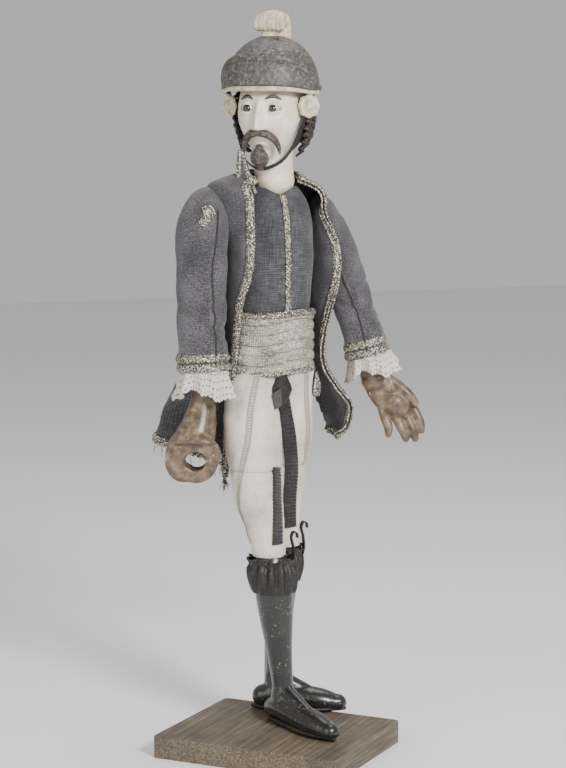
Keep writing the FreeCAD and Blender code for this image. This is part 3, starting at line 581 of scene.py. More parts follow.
softLight("key", 0.75, -1.35, 1.05, 0.35, 34)
softLight("fill", -1.2, -1.1, 0.8, 1.2, 9)
softLight("top", 0.1, 0.5, 1.7, 1.0, 12)
world = bpy.data.worlds.new("studio")
world.use_nodes = True
world.node_tree.nodes["Background"].inputs["Color"].default_value = (0.95, 0.95, 0.95, 1)
world.node_tree.nodes["Background"].inputs["Strength"].default_value = 0.55
bpy.context.scene.world = world
floorMesh = bmesh.new()
bmesh.ops.create_grid(floorMesh, x_segments=1, y_segments=1, size=4)
floorMaterial, floorTree, floorShader = startMaterial("paleFloor", Roughness=0.9)
floorShader.inputs["Base Color"].default_value = (0.86, 0.86, 0.86, 1)
floor = toObject("floor", floorMesh, floorMaterial, smooth=False)
print("camera and light ready")

headTurn = math.atan2(*(joints["head_nod"]["axis"][i] for i in (1, 0)))


def onHead(x, y, z):
    # A point in millimetres in the head's own frame, whose face looks along -y.
    return at(x * math.cos(headTurn) - y * math.sin(headTurn),
              x * math.sin(headTurn) + y * math.cos(headTurn), z)


head = {"wide": 28.5, "deep": 34, "tall": 43, "middle": (0, -1, 545),
        "eye": (11.5, -27.4, 549), "eyeRadius": 6.0, "segments": 128, "rings": 96}


def faceShape(x, y, z):
    # A plain carved face on even proportions: brow, sockets, nose, lips, cheeks and chin.
    front = smoothstep(-y, 2, 20)
    jaw = smoothstep(545 - z, 0, 40)
    x *= 1 - 0.2 * jaw
    y += 3.5 * jaw * (1 - front)
    push = 1.6 * bell(z, 557, 4.5) * (bell(x, 11, 8) + bell(x, -11, 8))
    push -= 3.0 * bell(z, 549.5, 6) * (bell(x, 11.5, 7.5) + bell(x, -11.5, 7.5))
    push += 1.6 * bell(z, 538, 8) * (bell(x, 17, 8) + bell(x, -17, 8))
    ridge = smoothstep(557 - z, 0, 26) * smoothstep(z, 528.5, 532.5)
    push += (2.2 + 7.0 * ridge) * bell(x, 0, 2.6 + 2.2 * ridge) * smoothstep(z, 528, 531) \
        * smoothstep(560 - z, 0, 6)
    push += 2.6 * bell(z, 532, 2.6) * (bell(x, 4.6, 2.4) + bell(x, -4.6, 2.4))
    push += 1.5 * bell(z, 524.6, 2.0) * bell(x, 0, 7.5) - 1.4 * bell(z, 522.2, 0.9) * bell(x, 0, 8.5)
    push += 2.1 * bell(z, 519.4, 2.0) * bell(x, 0, 6.5) - 1.2 * bell(z, 514.8, 2.4) * bell(x, 0, 8)
    push += 4.2 * bell(z, 506.5, 6.0) * bell(x, 0, 9.5)
    return x, y - push * front, z


def buildHead():
    mesh = bmesh.new()
    bmesh.ops.create_uvsphere(mesh, u_segments=head["segments"], v_segments=head["rings"], radius=1)
    for vert in mesh.verts:
        x, y, z = vert.co
        vert.co = onHead(*faceShape(head["wide"] * x, head["middle"][1] + head["deep"] * y,
                                    head["middle"][2] + head["tall"] * z))
    piece = toObject("head_carving", mesh, facePaint)
    carried(piece, "head", "face_paint", "head_core")
    neck = fused("neck_carving", [limb([onHead(0, 3, 487), onHead(0, 2.5, 497), onHead(0, 0, 512)],
                                       (17.8, 16.6, 17.4))], facePaint, 1.2)
    carried(neck, "head", "face_paint")
    whites = bmesh.new()
    darks = bmesh.new()
    lids = bmesh.new()
    for way in (-1, 1):
        x, y, z = head["eye"]
        centre = onHead(way * x, y, z)
        bmesh.ops.create_icosphere(whites, subdivisions=4, radius=head["eyeRadius"] * mm,
                                   matrix=Matrix.Translation(centre))
        gaze = (onHead(0, -1, 0) - onHead(0, 0, 0)).normalized()
        spot = centre + gaze * 3.55 * mm
        bmesh.ops.create_icosphere(darks, subdivisions=3, radius=3.7 * mm,
                                   matrix=Matrix.Translation(spot))
        for lift, keepAbove in ((30, True), (-24, False)):
            made = bmesh.ops.create_uvsphere(lids, u_segments=40, v_segments=28,
                                             radius=(head["eyeRadius"] + 0.75) * mm,
                                             matrix=Matrix.Translation(centre))["verts"]
            slant = math.radians(lift)
            normal = Vector((0, 0, 1)) * math.cos(slant) - gaze * math.sin(slant)
            if not keepAbove:
                normal.negate()
            around = made + list({e for v in made for e in v.link_edges}) \
                + list({f for v in made for f in v.link_faces})
            bmesh.ops.bisect_plane(lids, geom=around, plane_co=centre, plane_no=normal,
                                   clear_inner=True)
    for name, mesh, material, slot in (("eye_whites", whites, eyeWhite, "eye_glass"),
                                       ("eye_irises", darks, eyeDark, "eye_glass"),
                                       ("eyelids", lids, facePaint, "face_paint")):
        piece = toObject(name, mesh, material)
        if name == "eyelids":
            thicken(piece, 0.7)
        carried(piece, "head", slot)
        if name == "eye_whites":
            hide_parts("eyes")
    brows = [[onHead(*faceShape(way * x, -33.2 + 0.045 * x * x * 0.42, z))
              for x, z in ((5, 556.5), (9, 558.6), (13, 559), (18, 556.5))] for way in (-1, 1)]
    piece = strands("eyebrows", [[blendPoint(line, i / 12) for i in range(13)] for line in brows],
                    1.5, hairPaint, widths=[[0.4 + 0.6 * math.sin(math.pi * i / 12)
                                             for i in range(13)]] * 2)
    carried(piece, "head", "hair_paint")


buildHead()

beard = {"lobeRadii": (2.6, 3.3, 2.9, 2.2, 1.1), "chinRadii": (3.4, 7.4, 7.6, 3.6)}


def buildBeard():
    lobes = []
    for way in (-1, 1):
        line = [onHead(way * x, y, z) for x, y, z in
                ((0.5, -37.2, 528.6), (6, -35.6, 528.2), (11.5, -31.6, 524.5), (15, -28.4, 518.5),
                 (16.2, -27.0, 511.5))]
        lobes.append(limb(line, beard["lobeRadii"], sides=16))
    moustache = fused("moustache_carving", lobes, hairPaint, 0.6, 2)
    comb(moustache, 0.45, 1.7)
    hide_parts("moustache")
    goatee = fused("goatee_carving", [limb([onHead(0, -33.0, 516), onHead(0, -33.5, 510.5),
                                            onHead(0, -31.5, 505), onHead(0, -28.5, 500.5)],
                                           beard["chinRadii"], flatten=0.62,
                                           across=onHead(1, 0, 0) - onHead(0, 0, 0), sides=16)],
                   hairPaint, 0.6, 2)
    comb(goatee, 0.5, 1.9)
    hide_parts("goatee")
    for piece in (moustache, goatee):
        carried(piece, "head", "hair_paint")


def comb(piece, depthMm, spacingMm):
    # Cuts fine carved hair grooves that run downwards.
    for vert in piece.data.vertices:
        local = vert.co - axisPoint
        wave = math.sin((local.x + local.y * 0.6) / (spacingMm * mm) * math.tau
                        + 2.2 * rough(vert.co, 6, 3))
        vert.co += vert.normal * depthMm * mm * wave * 0.6


buildBeard()

locks = {"count": 62, "thread": 1.5, "curl": 2.7}


def buildHair():
    # Carved curls hang from under the helmet round the back of the head.
    shell = bmesh.new()
    bmesh.ops.create_uvsphere(shell, u_segments=96, v_segments=72, radius=1)
    for vert in shell.verts:
        x, y, z = vert.co
        lump = 1 + 0.035 * rough(vert.co * 0.03, 5, 1)
        vert.co = onHead(29.5 * x * lump, max(1 + 37 * y, 3) * lump, 545 + 38 * z)
    bmesh.ops.bisect_plane(shell, geom=shell.verts[:] + shell.edges[:] + shell.faces[:],
                           plane_co=onHead(0, 0, 566), plane_no=(0, 0, 1), clear_outer=True)
    bmesh.ops.holes_fill(shell, edges=[e for e in shell.edges if e.is_boundary], sides=0)
    cap = toObject("hair_mass", shell, curlPaint)
    lines, widths = [], []
    for k in range(locks["count"]):
        row = k % 3
        angle = math.radians(-96 + 192 * ((k // 3) + 0.33 * row) / (locks["count"] / 3 - 0.4))
        top = (562, 548, 533)[row] + random.uniform(-2, 2)
        length = random.uniform(17, 24) if row < 2 else random.uniform(14, 25)
        line, width = [], []
        phase = random.uniform(0, math.tau)
        for i in range(34):
            t = i / 33
            z = top - length * t
            drop = max(1 - ((z - 545) / 46) ** 2, 0.1) ** 0.5
            radius = locks["curl"] * (1 - 0.3 * t)
            swing = phase + t * length / 6.5 * math.tau
            x = math.sin(angle) * (32 * drop + 1.5) + radius * math.cos(swing) * math.cos(angle)
            y = 1 + math.cos(angle) * (38 * drop + 1.5) + radius * math.cos(swing) * -math.sin(angle)
            away = radius * math.sin(swing) * 0.7
            line.append(onHead(x + math.sin(angle) * away, y + math.cos(angle) * away,
                               z + 0.8 * math.sin(swing)))
            width.append(0.7 + 0.5 * math.sin(math.pi * t))
        lines.append(line)
        widths.append(width)
    curls = strands("hair_locks", lines, locks["thread"], curlPaint, sides=1, widths=widths)
    for piece in (cap, curls):
        carried(piece, "head", "hair_paint")
    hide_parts("hair")


buildHair()

helmet = {"wide": 38.5, "deep": 41.5, "brim": 563, "top": 609, "plateProud": 3.4}


def domePoint(angle, height, lift=0.0):
    # angle from the face round to the left, height from 0 at the brim to 1 at the top
    tall = helmet["top"] - helmet["brim"]
    bulge = math.sqrt(max(1 - height ** 2.3, 0))
    return onHead(math.sin(angle) * (helmet["wide"] * bulge + lift),
                  -math.cos(angle) * (helmet["deep"] * bulge + lift) - 1,
                  helmet["brim"] + tall * height + lift * height
                  + 4 * (1 - height) * smoothstep(math.cos(angle), 0.2, 1))


def buildHelmet():
    def dome(u, v):
        height = min(v ** 0.8, 0.9999)
        point = domePoint(u * math.tau, height)
        return point + Vector((0, 0, 0.4 * mm * rough(point, 9, 2)))
    shell = surface("helmet_dome", 128, 40, dome, helmetPaint, (0.25, 0.07), closed=True)
    thicken(shell, 2.4)
    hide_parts("helmet_shell")

    def plate(u, v):
        angle = math.radians(-84 + 168 * u)
        rise = 0.58 * max(1 - (abs(2 * u - 1)) ** 2.4, 0.02) ** 0.8
        rim = smoothstep(v, 0.82, 0.9)
        proud = helmet["plateProud"] + 1.3 * rim - 0.8 * bell(v, 0.78, 0.05)
        return domePoint(angle, 0.03 + v * rise, proud)
    front = surface("helmet_plate", 90, 24, plate, helmetPaint, (0.12, 0.03))
    thicken(front, 2.2)
    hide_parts("helmet_front_plate")

    def peak(u, v):
        angle = math.radians(-96 + 192 * u)
        out = 0.4 + 1.5 * math.sin(math.pi * min(v * 1.1, 1)) + 5 * bell(u, 0.16, 0.02) * (1 - v)
        base = domePoint(angle, 0.0, out)
        return base + Vector((0, 0, (-2.6 + 4.4 * v + 0.6 * math.sin(9 * u)) * mm))
    strip = surface("helmet_peak", 110, 10, peak, gessoPaint, (0.14, 0.006))
    thicken(strip, 1.6)

    def band(u, v):
        return domePoint(u * math.tau, 0.015 + 0.1 * v, 1.6 + 0.8 * math.sin(math.pi * v))
    strap = surface("helmet_band", 120, 8, band, helmetPaint, (0.25, 0.006), closed=True)
    thicken(strap, 1.4)
    for piece in (shell, front, strip, strap):
        soften(piece)
        carried(piece, "head", "helmet_paint" if piece is not strip else "gesso_paint")

    flutes = []
    for k in range(7):
        x = -11.1 + 3.7 * k
        crown = 628.6 - 0.02 * x * x
        line = [onHead(x * 0.98, 9, 603), onHead(x * 0.95, 8, 612), onHead(x * 0.95, 7, 621),
                onHead(x * 0.92, 3, crown), onHead(x * 0.95, -5, crown - 0.8),
                onHead(x * 1.02, -9.5, crown - 6), onHead(x * 1.02, -8.5, 616),
                onHead(x * 0.95, -4, 615)]
        flutes.append(limb(line, (2.9, 2.9, 2.8, 2.4, 2.3, 2.4, 2.2, 1.6),
                           sides=12))
    flutes.append(limb([onHead(0, 1, 601), onHead(0, 2, 610), onHead(0, 2, 619)],
                       (13, 11.5, 9), flatten=0.72))
    crest = fused("helmet_plume", flutes, gessoPaint, 0.8, 2)
    carried(crest, "head", "gesso_paint", "helmet_crest")

    bosses = bmesh.new()
    for way in (-1, 1):
        ball = bmesh.ops.create_uvsphere(bosses, u_segments=64, v_segments=32, radius=1)["verts"]
        for vert in ball:
            x, y, z = vert.co
            angle = math.atan2(y, x)
            reach = math.hypot(x, y)
            scallop = 1 + 0.11 * abs(math.cos(angle * 4)) * reach
            dish = 3.6 * z - 1.6 * bell(reach, 0.55, 0.14) * (z > 0) \
                + 1.5 * bell(reach, 0, 0.3) * (z > 0)
            flat = 8.6 * x * scallop
            vert.co = onHead(way * (36 + dish * 0.5 + flat * 0.87), -10 - dish * 0.87 + flat * 0.5,
                             551 + 9.2 * y * scallop)
    bmesh.ops.recalc_face_normals(bosses, faces=bosses.faces)
    rosettes = toObject("rosettes", bosses, gessoPaint)
    carried(rosettes, "head", "gesso_paint", "rosette_bosses")

    line = [(34, -8, 546), (28.5, -11, 531), (23, -16, 516), (14.5, -23, 504), (0, -29, 498.5)]
    line += [(-x, y, z) for x, y, z in reversed(line[:-1])]

    def strapShape(u, v):
        x, y, z = blendPoint(line, v)
        point = onHead(x, y, z)
        away = (point - onHead(0, 0, 545)).normalized()
        run = onHead(*blendPoint(line, min(v + 0.01, 1))) \
            - onHead(*blendPoint(line, max(v - 0.01, 0)))
        side = away.cross(run.normalized())
        return point + side * (u - 0.5) * 5.5 * mm
    chin = surface("chin_strap_leather", 6, 80, strapShape, strapLeather, (0.0055, 0.12))
    thicken(chin, 1.1)
    soften(chin)
    carried(chin, "head", "strap_leather", "chin_strap")


buildHelmet()
print("head, hair and helmet ready")


def limbRound(centre, wide, deep, angle):
    # A point on a level oval; the angle runs from the front round to the figure's left.
    return at(centre[0] + wide * math.sin(angle), centre[1] - deep * math.cos(angle), centre[2])


def finishCloth(piece, body, nodes, wallMm,
                blendTo=None, bend=None, levels=1):
    # Gives cloth its wall and softens it unless levels is 0, then hangs it on its body and hides the
    # nodes it stands for; cloth given blendTo is only settled where it stands and hung on no body.
    thicken(piece, wallMm)
    if levels:
        soften(piece, levels)
    if blendTo:
        settle(piece)
        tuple(bend[0])
        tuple(bend[1])
        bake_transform(piece)
    else:
        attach(piece, body)
    if nodes:
        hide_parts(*nodes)


vestRings = [(374, 0, 31, 22.5), (395, 0, 33, 24), (425, 0, 35, 25), (450, 0, 34, 24.5),
             (466, 0, 31, 22.5), (476, 1, 26, 21), (483, 2, 19.8, 19)]


def vestShape(u, v):
    z, dy, wide, deep = blendPoint4(vestRings, v)
    angle = (u - 0.5) * math.tau
    z -= 6 * bell(angle, 0, 0.5) * smoothstep(v, 0.75, 1)
    point = limbRound((0, dy, z), wide, deep, angle)
    away = (point - at(0, dy, z)).normalized()
    return point + away * mm * (0.7 * rough(point, 22, 5) + 0.25 * rough(point, 7, 6))


def blendPoint4(rows, t):
    # blendPoint for rows of four numbers
    one = blendPoint([row[:3] for row in rows], t)
    return *one, between([row[3] for row in rows], t)


def buildWaistcoat():
    piece = surface("waistcoat_cloth", 96, 48, vestShape, vestCloth, (0.19, 0.11), closed=True)
    finishCloth(piece, "chest", ["waistcoat"], 1.2)

    def lifted(u, v):
        point = vestShape(u, v)
        away = point - at(0, 0, point.z / mm - axisPoint.z)
        away.z = 0
        return point + away.normalized() * 0.9 * mm
    braid = gimp("waistcoat_front_gimp", lifted,
                 [(0.502, 0.975), (0.508, 0.75), (0.514, 0.5), (0.52, 0.25), (0.524, 0.02)],
                 gimpThread, widthMm=5)
    carried(braid, "chest", "lame_cloth")
    opening = gimp("waistcoat_opening_gimp", lifted,
                   [(0.535, 0.03), (0.53, 0.5), (0.524, 0.93)], vestCloth, widthMm=3, stepMm=9,
                   liftMm=0.2)
    carried(opening, "chest", "wool_cloth")


buildWaistcoat()

# each row is a level of the coat, from its right front edge round the back to its left one
coatRows = [
    (459, [(-28.7, -24), (-38, -18), (-46, -6), (-43, 12), (-27, 27), (0, 31), (25, 28), (37, 20),
           (39, 6), (39, -8), (41, -15)]),
    (432, [(-28.8, -25), (-36, -18), (-40, -4), (-39, 14), (-24, 29), (0, 32), (22, 29), (37, 20),
           (41, 5), (47, -8), (53.5, -12)]),
    (410, [(-30.5, -24), (-37, -17), (-40, -4), (-39, 14), (-24, 28), (0, 31), (22, 29), (37, 21),
           (42, 5), (49, -8), (55.5, -12)]),
    (385, [(-37, -20), (-39.5, -12), (-40.5, -2), (-42, 18), (-28, 32), (0, 33), (22, 31), (37, 22),
           (41, 8), (45, -4), (49.5, -12)]),
    (356, [(-38, -12), (-39.5, -6), (-41, 3), (-52, 30), (-34, 42), (0, 42), (24, 38), (40, 28),
           (43, 12), (43, 0), (43.5, -10)]),
    (330, [(-39, -7), (-40, 0), (-42, 8), (-64, 43), (-38, 48), (0, 50), (28, 46), (46, 30), (50, 14),
           (48, 2), (44, -8)]),
    (308, [(-40, -3), (-41, 3), (-43, 11), (-73, 49), (-42, 51), (0, 54), (32, 50), (50, 33), (58, 18),
           (60, 4), (57, -7)]),
    (291, [(-40.5, 2), (-41, 6), (-43, 13), (-80, 53), (-44, 54), (0, 57), (36, 53), (56, 34),
           (66, 18), (69, 4), (70, -6)]),
    (273, [(-41, 5), (-41.5, 9), (-43, 14), (-86, 55), (-46, 55), (0, 58), (38, 55), (60, 34),
           (66, 18), (66, 4), (66, -5)])]
hem = [(-42, 7, 233), (-42, 10, 237), (-44, 16, 244), (-90, 57, 262), (-47, 57, 266), (0, 59, 268),
       (39, 56, 266), (59, 35, 265), (64, 18, 264), (61, 4, 263), (57, -2, 265)]
shoulders = [
    [(-21, -13, 489), (-25, -6, 493), (-24, 4, 495), (-18, 14, 495), (-10, 20, 494), (0, 22, 494),
     (10, 20, 494), (18, 14, 493), (22, 4, 493), (22, -6, 491), (20, -12, 489)],
    [(-30, -17, 484), (-40, -10, 488), (-46, 0, 489.5), (-39, 12, 489), (-20, 21, 487), (0, 24, 486),
     (20, 21, 486), (35, 14, 485), (40, 6, 484), (39, -5, 483), (35, -13, 482)],
    [(-29, -22, 474), (-43, -16, 477), (-58, -2, 481.5), (-50, 14, 480), (-28, 24, 476), (0, 27, 475),
     (27, 25, 475), (45, 22, 474), (49, 12, 472), (47, -5, 472), (41, -15, 473)]]
coatLines = shoulders + [[(dx, dy, z) for dx, dy in row] for z, row in coatRows] + [hem]


def coatShape(u, v):
    line = [blendPoint(row, u) for row in coatLines]
    p = blendPoint(line, v)
    point = at(*p)
    away = Vector((p.x, p.y - 6, 0)).normalized()
    loose = 0.5 + 1.6 * smoothstep(v, 0.5, 1)
    return point + away * mm * loose * (1.1 * rough(point, 26, 8) + 0.3 * rough(point, 8, 9))


def buildCoat():
    piece = surface("coat_body_cloth", 150, 150, coatShape, coatCloth, (0.2, 0.25))

    def vent(u, v):
        opened = smoothstep(v / 0.25, 0.62, 1)
        return opened > 0 and abs(u / 0.2 - 0.655) < 0.004 + 0.05 * opened
    cutAway(piece, vent)
    finishCloth(piece, "chest", ["coat_back", "coat_front_right", "coat_front_left"],
                1.6)
    edges = {"coat_right_front_gimp": [(0.012, v / 12) for v in range(13)],
             "coat_left_front_gimp": [(0.988, v / 12) for v in range(13)],
             "coat_neck_gimp": [(u / 10, 0.012) for u in range(11)],
             "coat_left_hem_gimp": [(0.985 - 0.025 * k, 0.99) for k in range(11)],
             "coat_right_hem_gimp": [(0.015 + 0.05 * k, 0.988) for k in range(13)]}
    for name, path in edges.items():
        braid = gimp(name, coatShape, path, gimpThread, liftMm=1.5, widthMm=7.5)
        carried(braid, "chest", "lame_cloth")
        inner = gimp(name + "_lining", coatShape, path, gimpThread, liftMm=-1.6, widthMm=6.5)
        carried(inner, "chest", "lame_cloth")
    threads = []
    for k in range(60):
        u = 0.2 + 0.24 * random.random() if k % 2 else 0.01 + 0.1 * random.random()
        start = coatShape(u, 0.998)
        drift = Vector((random.uniform(-4, 4), random.uniform(-4, 4), 0)) * mm
        fall = random.uniform(5, 16) * mm
        threads.append([start + drift * t * t - Vector((0, 0, fall * t)) for t in (0, 0.35, 0.7, 1)])
    fringe = strands("coat_hem_threads", threads, 0.28, gimpThread, sides=1)
    carried(fringe, "chest", "lame_cloth")

    def point(u, v):
        tip = 1 - v
        across = (u - 0.5) * (17 * tip + 1.2)
        base = Vector((-28 - 4.5 * v, -13 + 2 * v, 479 + 35 * v))
        return at(base.x + across * 0.8, base.y - across * 0.55 + 1.2 * math.sin(3 * v), base.z
                  - abs(across) * 0.15)
    collar = surface("coat_collar_point", 14, 24, point, coatCloth, (0.017, 0.035),
                     out=Vector((-0.3, -0.9, 0)))
    finishCloth(collar, "chest", [], 1.3)
    for name, u in (("collar_point_gimp_outer", 0.08), ("collar_point_gimp_inner", 0.92)):
        braid = gimp(name, point, [(u, k / 8) for k in range(9)], gimpThread, widthMm=3.2,
                     stepMm=3.4, liftMm=0.8)
        carried(braid, "chest", "lame_cloth")
    return piece


buildCoat()
print("waistcoat and coat ready")

sleeves = {
    "right": {"line": [(-50, 1, 479), (-55, 1, 473), (-60, 1, 462), (-62.5, 1, 446), (-63.5, 1, 425),
                       (-64, 1, 400), (-64, 1, 378), (-63.5, 0, 352), (-63, -1.5, 328)],
              "radii": (4, 13.5, 19.2, 21.4, 21.5, 20.8, 20.8, 20.4, 20.6), "elbow": 6, "seam": 0.03},
    "left": {"line": [(46, 12, 474), (48, 13, 466), (52, 13, 453), (57.5, 12, 438), (64.5, 10, 419),
                      (70, 9, 402), (75, 8, 385), (83, 4, 358), (88.5, 1, 335)],
             "radii": (3, 10, 14, 16.4, 17.2, 17.2, 17.2, 17, 17.6), "elbow": 6, "seam": 0.945}}


def sleeveShape(side):
    sleeve = sleeves[side]
    line = sleeve["line"]

    def shape(u, v):
        centre = blendPoint(line, v)
        radius = between(sleeve["radii"], v)
        down = runOf(line, v, 0.02)
        front = Vector((0, -1, 0))
        front = (front - down * front.dot(down)).normalized()
        across = down.cross(front)
        angle = u * math.tau
        away = front * math.cos(angle) - across * math.sin(angle)
        p = at(*(centre + away * radius))
        bend = v * 8 - sleeve["elbow"]
        crease = bell(bend, 0.25 + 0.35 * math.sin(angle * 1.0 + 0.6), 0.16) \
            + 0.8 * bell(bend, -0.35 + 0.4 * math.sin(angle + 2.4), 0.18) \
            + 0.7 * bell(bend, 1.0 - 0.4 * math.cos(angle), 0.15)
        ease = smoothstep(v, 0.1, 0.3)
        soft = 1.7 * rough(p, 24, 11) + 0.7 * rough(p, 9, 12)
        return p + away * mm * (ease * soft - 2.6 * crease * (0.45 + 0.55 * math.cos(angle - 0.4)))
    return shape


def buildSleeves():
    for side, sleeve in sleeves.items():
        shape = sleeveShape(side)
        piece = surface(f"sleeve_cloth_{side}", 88, 96, shape, coatCloth, (0.128, 0.15), closed=True)
        elbow = Vector(sleeve["line"][6])
        bend = (at(*(elbow + Vector((0, 0, 12)))), at(*(elbow - Vector((0, 0, 12)))))
        arms = (f"upper_arm_{side}", f"forearm_{side}")
        finishCloth(piece, arms[0], [f"sleeve_upper_{side}", f"sleeve_lower_{side}"],
                    1.5, blendTo=arms[1], bend=bend)
        seam = gimp(f"sleeve_seam_{side}", shape,
                    [(sleeve["seam"] + 0.012 * math.sin(k), 0.22 + 0.078 * k) for k in range(11)],
                    ribbonDark, widthMm=0.7, stepMm=4, liftMm=1.0, ownTube=True)
        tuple(bend[0])
        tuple(bend[1])
        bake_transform(seam)
        for name, v in (("cuff_gimp_upper", 0.94), ("cuff_gimp_lower", 0.985)):
            braid = gimp(f"{name}_{side}", shape, [(k / 12, v) for k in range(13)], gimpThread,
                         widthMm=6.5, liftMm=1.4, ownTube=True)
            carried(braid, arms[1], "lame_cloth")
        if side == "right":
            patch = gimp("shoulder_gimp_patch", shape,
                         [(0.93, 0.26), (0.98, 0.24), (0.955, 0.3), (0.925, 0.33)], gimpThread,
                         widthMm=7, liftMm=1.3, ownTube=True)
            carried(patch, arms[0], "lame_cloth")


buildSleeves()

lace = {"flutes": 9, "frill": 3.4,
        "right": {"line": [(-63, -1.5, 333), (-63, -2, 320), (-63.5, -3, 307)],
                  "radii": (18.5, 21.5, 24.5)},
        "left": {"line": [(88, 1, 339), (90.5, 0, 330), (92.5, -1, 319)], "radii": (16, 19, 22)}}


def buildLace():
    for side in ("right", "left"):
        spec = lace[side]
        down = (Vector(spec["line"][2]) - Vector(spec["line"][0])).normalized()
        front = (Vector((0, -1, 0)) - down * -down.y).normalized()
        across = down.cross(front)

        def ruffle(u, v):
            angle = u * math.tau
            centre = blendPoint(spec["line"], v)
            radius = between(spec["radii"], v)
            wave = math.sin(angle * lace["flutes"] + 1.3 * math.sin(angle * 2)) \
                + 0.4 * math.sin(angle * 17 + 1)
            radius += lace["frill"] * v * wave + 2 * v * math.sin(angle * 2 + 0.6)
            away = front * math.cos(angle) - across * math.sin(angle)
            drop = down * (4.5 * v * math.sin(angle * 3 + 0.7) + 1.0 * v * wave
                           + 0.8 * smoothstep(v, 0.8, 1) * math.sin(angle * 44))
            p = at(*(centre + away * radius + drop))
            return p + away * mm * v * 2.4 * rough(p, 7, 31)
        piece = surface(f"cuff_ruffle_{side}", 260, 22, ruffle, laceCloth, (0.2, 0.03), closed=True)

        def eyelet(u, v):
            column, row = round(u / 0.2 * 260 - 0.5), round(v / 0.03 * 22 - 0.5)
            return row % 4 == 2 and (column + 2 * (row // 4)) % 5 in (0, 1) and row > 5
        cutAway(piece, eyelet)
        finishCloth(piece, f"forearm_{side}", [f"cuff_lace_{side}"], 0.7)


buildLace()
print("sleeves and lace ready")

sash = {"top": 375, "foot": 323, "wide": 35, "deep": 25.5, "folds": 6}


def sashShape(u, v):
    angle = (u - 0.5) * math.tau
    z = sash["top"] + (sash["foot"] - sash["top"]) * v
    z += 1.2 * math.sin(angle + 0.5) + 0.8 * math.sin(angle * 3)
    tilt = v * sash["folds"] + 0.22 * math.sin(angle + 1) + 0.1 * math.sin(3 * angle)
    fold = abs(math.sin(math.pi * tilt)) ** 0.42
    p = limbRound((0, 0, z), sash["wide"], sash["deep"], angle)
    away = (p - at(0, 0, z)).normalized()
    return p + away * mm * (3.1 * fold - 2.2 + 0.6 * rough(p, 6, 15) + 0.5 * rough(p, 2.4, 16))


def buildSash():
    # the sash cloth's speckled colour holds painted highlights and painted shade
    piece = surface("sash_cloth", 220, 110, sashShape, lameClothWithPaintedGlints, (0.19, 0.07), closed=True)
    finishCloth(piece, "root", ["sash"], 1.4,
                levels=0)
    for name, v in (("sash_gimp_top", 0.02), ("sash_gimp_foot", 0.975)):
        braid = gimp(name, sashShape, [(k / 12, v) for k in range(13)], gimpThread, widthMm=5,
                     liftMm=1.5)
        carried(braid, "root", "lame_cloth")
    knot = []
    for k in range(7):
        start = Vector((39 + random.uniform(-2, 2), -4 + random.uniform(-3, 3), 322))
        knot.append([at(*(start + Vector((1.5 * math.sin(3 * t + k), math.cos(2 * t + k), -21 * t))))
                     for t in (0, 0.25, 0.5, 0.75, 1)])
    tassel = strands("sash_tassel", knot, 1.3, gimpThread, sides=1,
                     widths=[[0.5, 0.6, 1.3, 1.6, 0.8]] * 7)
    carried(tassel, "root", "lame_cloth")


buildSash()

legs = {"right": [(328, -16, 0, 18, 21), (300, -21, -4, 22.5, 22), (270, -21.5, -8, 24, 24),
                  (242, -21, -13, 22.5, 23), (215, -19, -18.5, 20, 20), (190, -15, -23, 16, 16),
                  (168, -12.3, -25, 13.5, 14)],
        "left": [(328, 16, 0, 18, 21), (300, 17, 3, 18.5, 19), (270, 17.4, 7, 18.5, 18.5),
                 (242, 16, 10, 18, 18), (215, 14, 12, 16.5, 16.5), (190, 13.6, 14, 15, 15),
                 (168, 14, 15, 14, 14)]}


def legShape(side, wrinkle=1.0):
    rows = legs[side]

    def shape(u, v):
        # v runs from 0 at the waist to 1 at the knee; u goes round from the front
        one = blendPoint([(row[1], row[2], row[0]) for row in rows], v)
        two = blendPoint([(row[3], row[4], 0) for row in rows], v)
        angle = (u - 0.5) * math.tau
        p = limbRound((one.x, one.y, one.z), two.x, two.y, angle)
        if (p.x - axisPoint.x) * (1 if side == "left" else -1) < 0.4 * mm:
            p.x = axisPoint.x + (0.4 if side == "left" else -0.4) * mm
        away = (p - at(one.x, one.y, one.z)).normalized()
        seam = bell(v, 0.5, 0.012)
        pull = math.sin(angle * 2 + v * 16) * bell(v, 0.42, 0.2) \
            + math.sin(angle + v * 30) * bell(v, 0.1, 0.1)
        return p + away * mm * wrinkle * (1.5 * rough(p, 22, 21) + 0.55 * rough(p, 8, 22)
                                          - 1.3 * seam + 0.9 * pull)
    return shape


def ribbon(name, base, path, widthMm, material, liftMm=1.0, ribMm=3.0, ribHigh=0.5):
    # A ribbed ribbon laid along a path of (u, v) places on a leg.
    route = [base(*onPath(path, i / 60)) for i in range(61)]
    length = sum((b - a).length for a, b in zip(route, route[1:]))
    rows = int(length / (ribMm * mm) * 6)

    def shape(u, v):
        a, b = onPath(path, v)
        along = (base(*onPath(path, v + 0.02)) - base(*onPath(path, v - 0.02))).normalized()
        up = (base(a, b) - base(a + 0.5, b))
        up = (up - along * up.dot(along)).normalized()
        side = up.cross(along).normalized()
        rib = ribHigh * math.sin(v * length / (ribMm * mm) * math.tau)
        return base(a, b) + side * (u - 0.5) * widthMm * mm \
            + up * (liftMm + rib - 0.7 * (2 * u - 1) ** 2) * mm
    piece = surface(name, 8, rows, shape, material, (widthMm * mm, length),
                    out=base(*path[0]) - base(path[0][0] + 0.5, path[0][1]))
    return piece, length


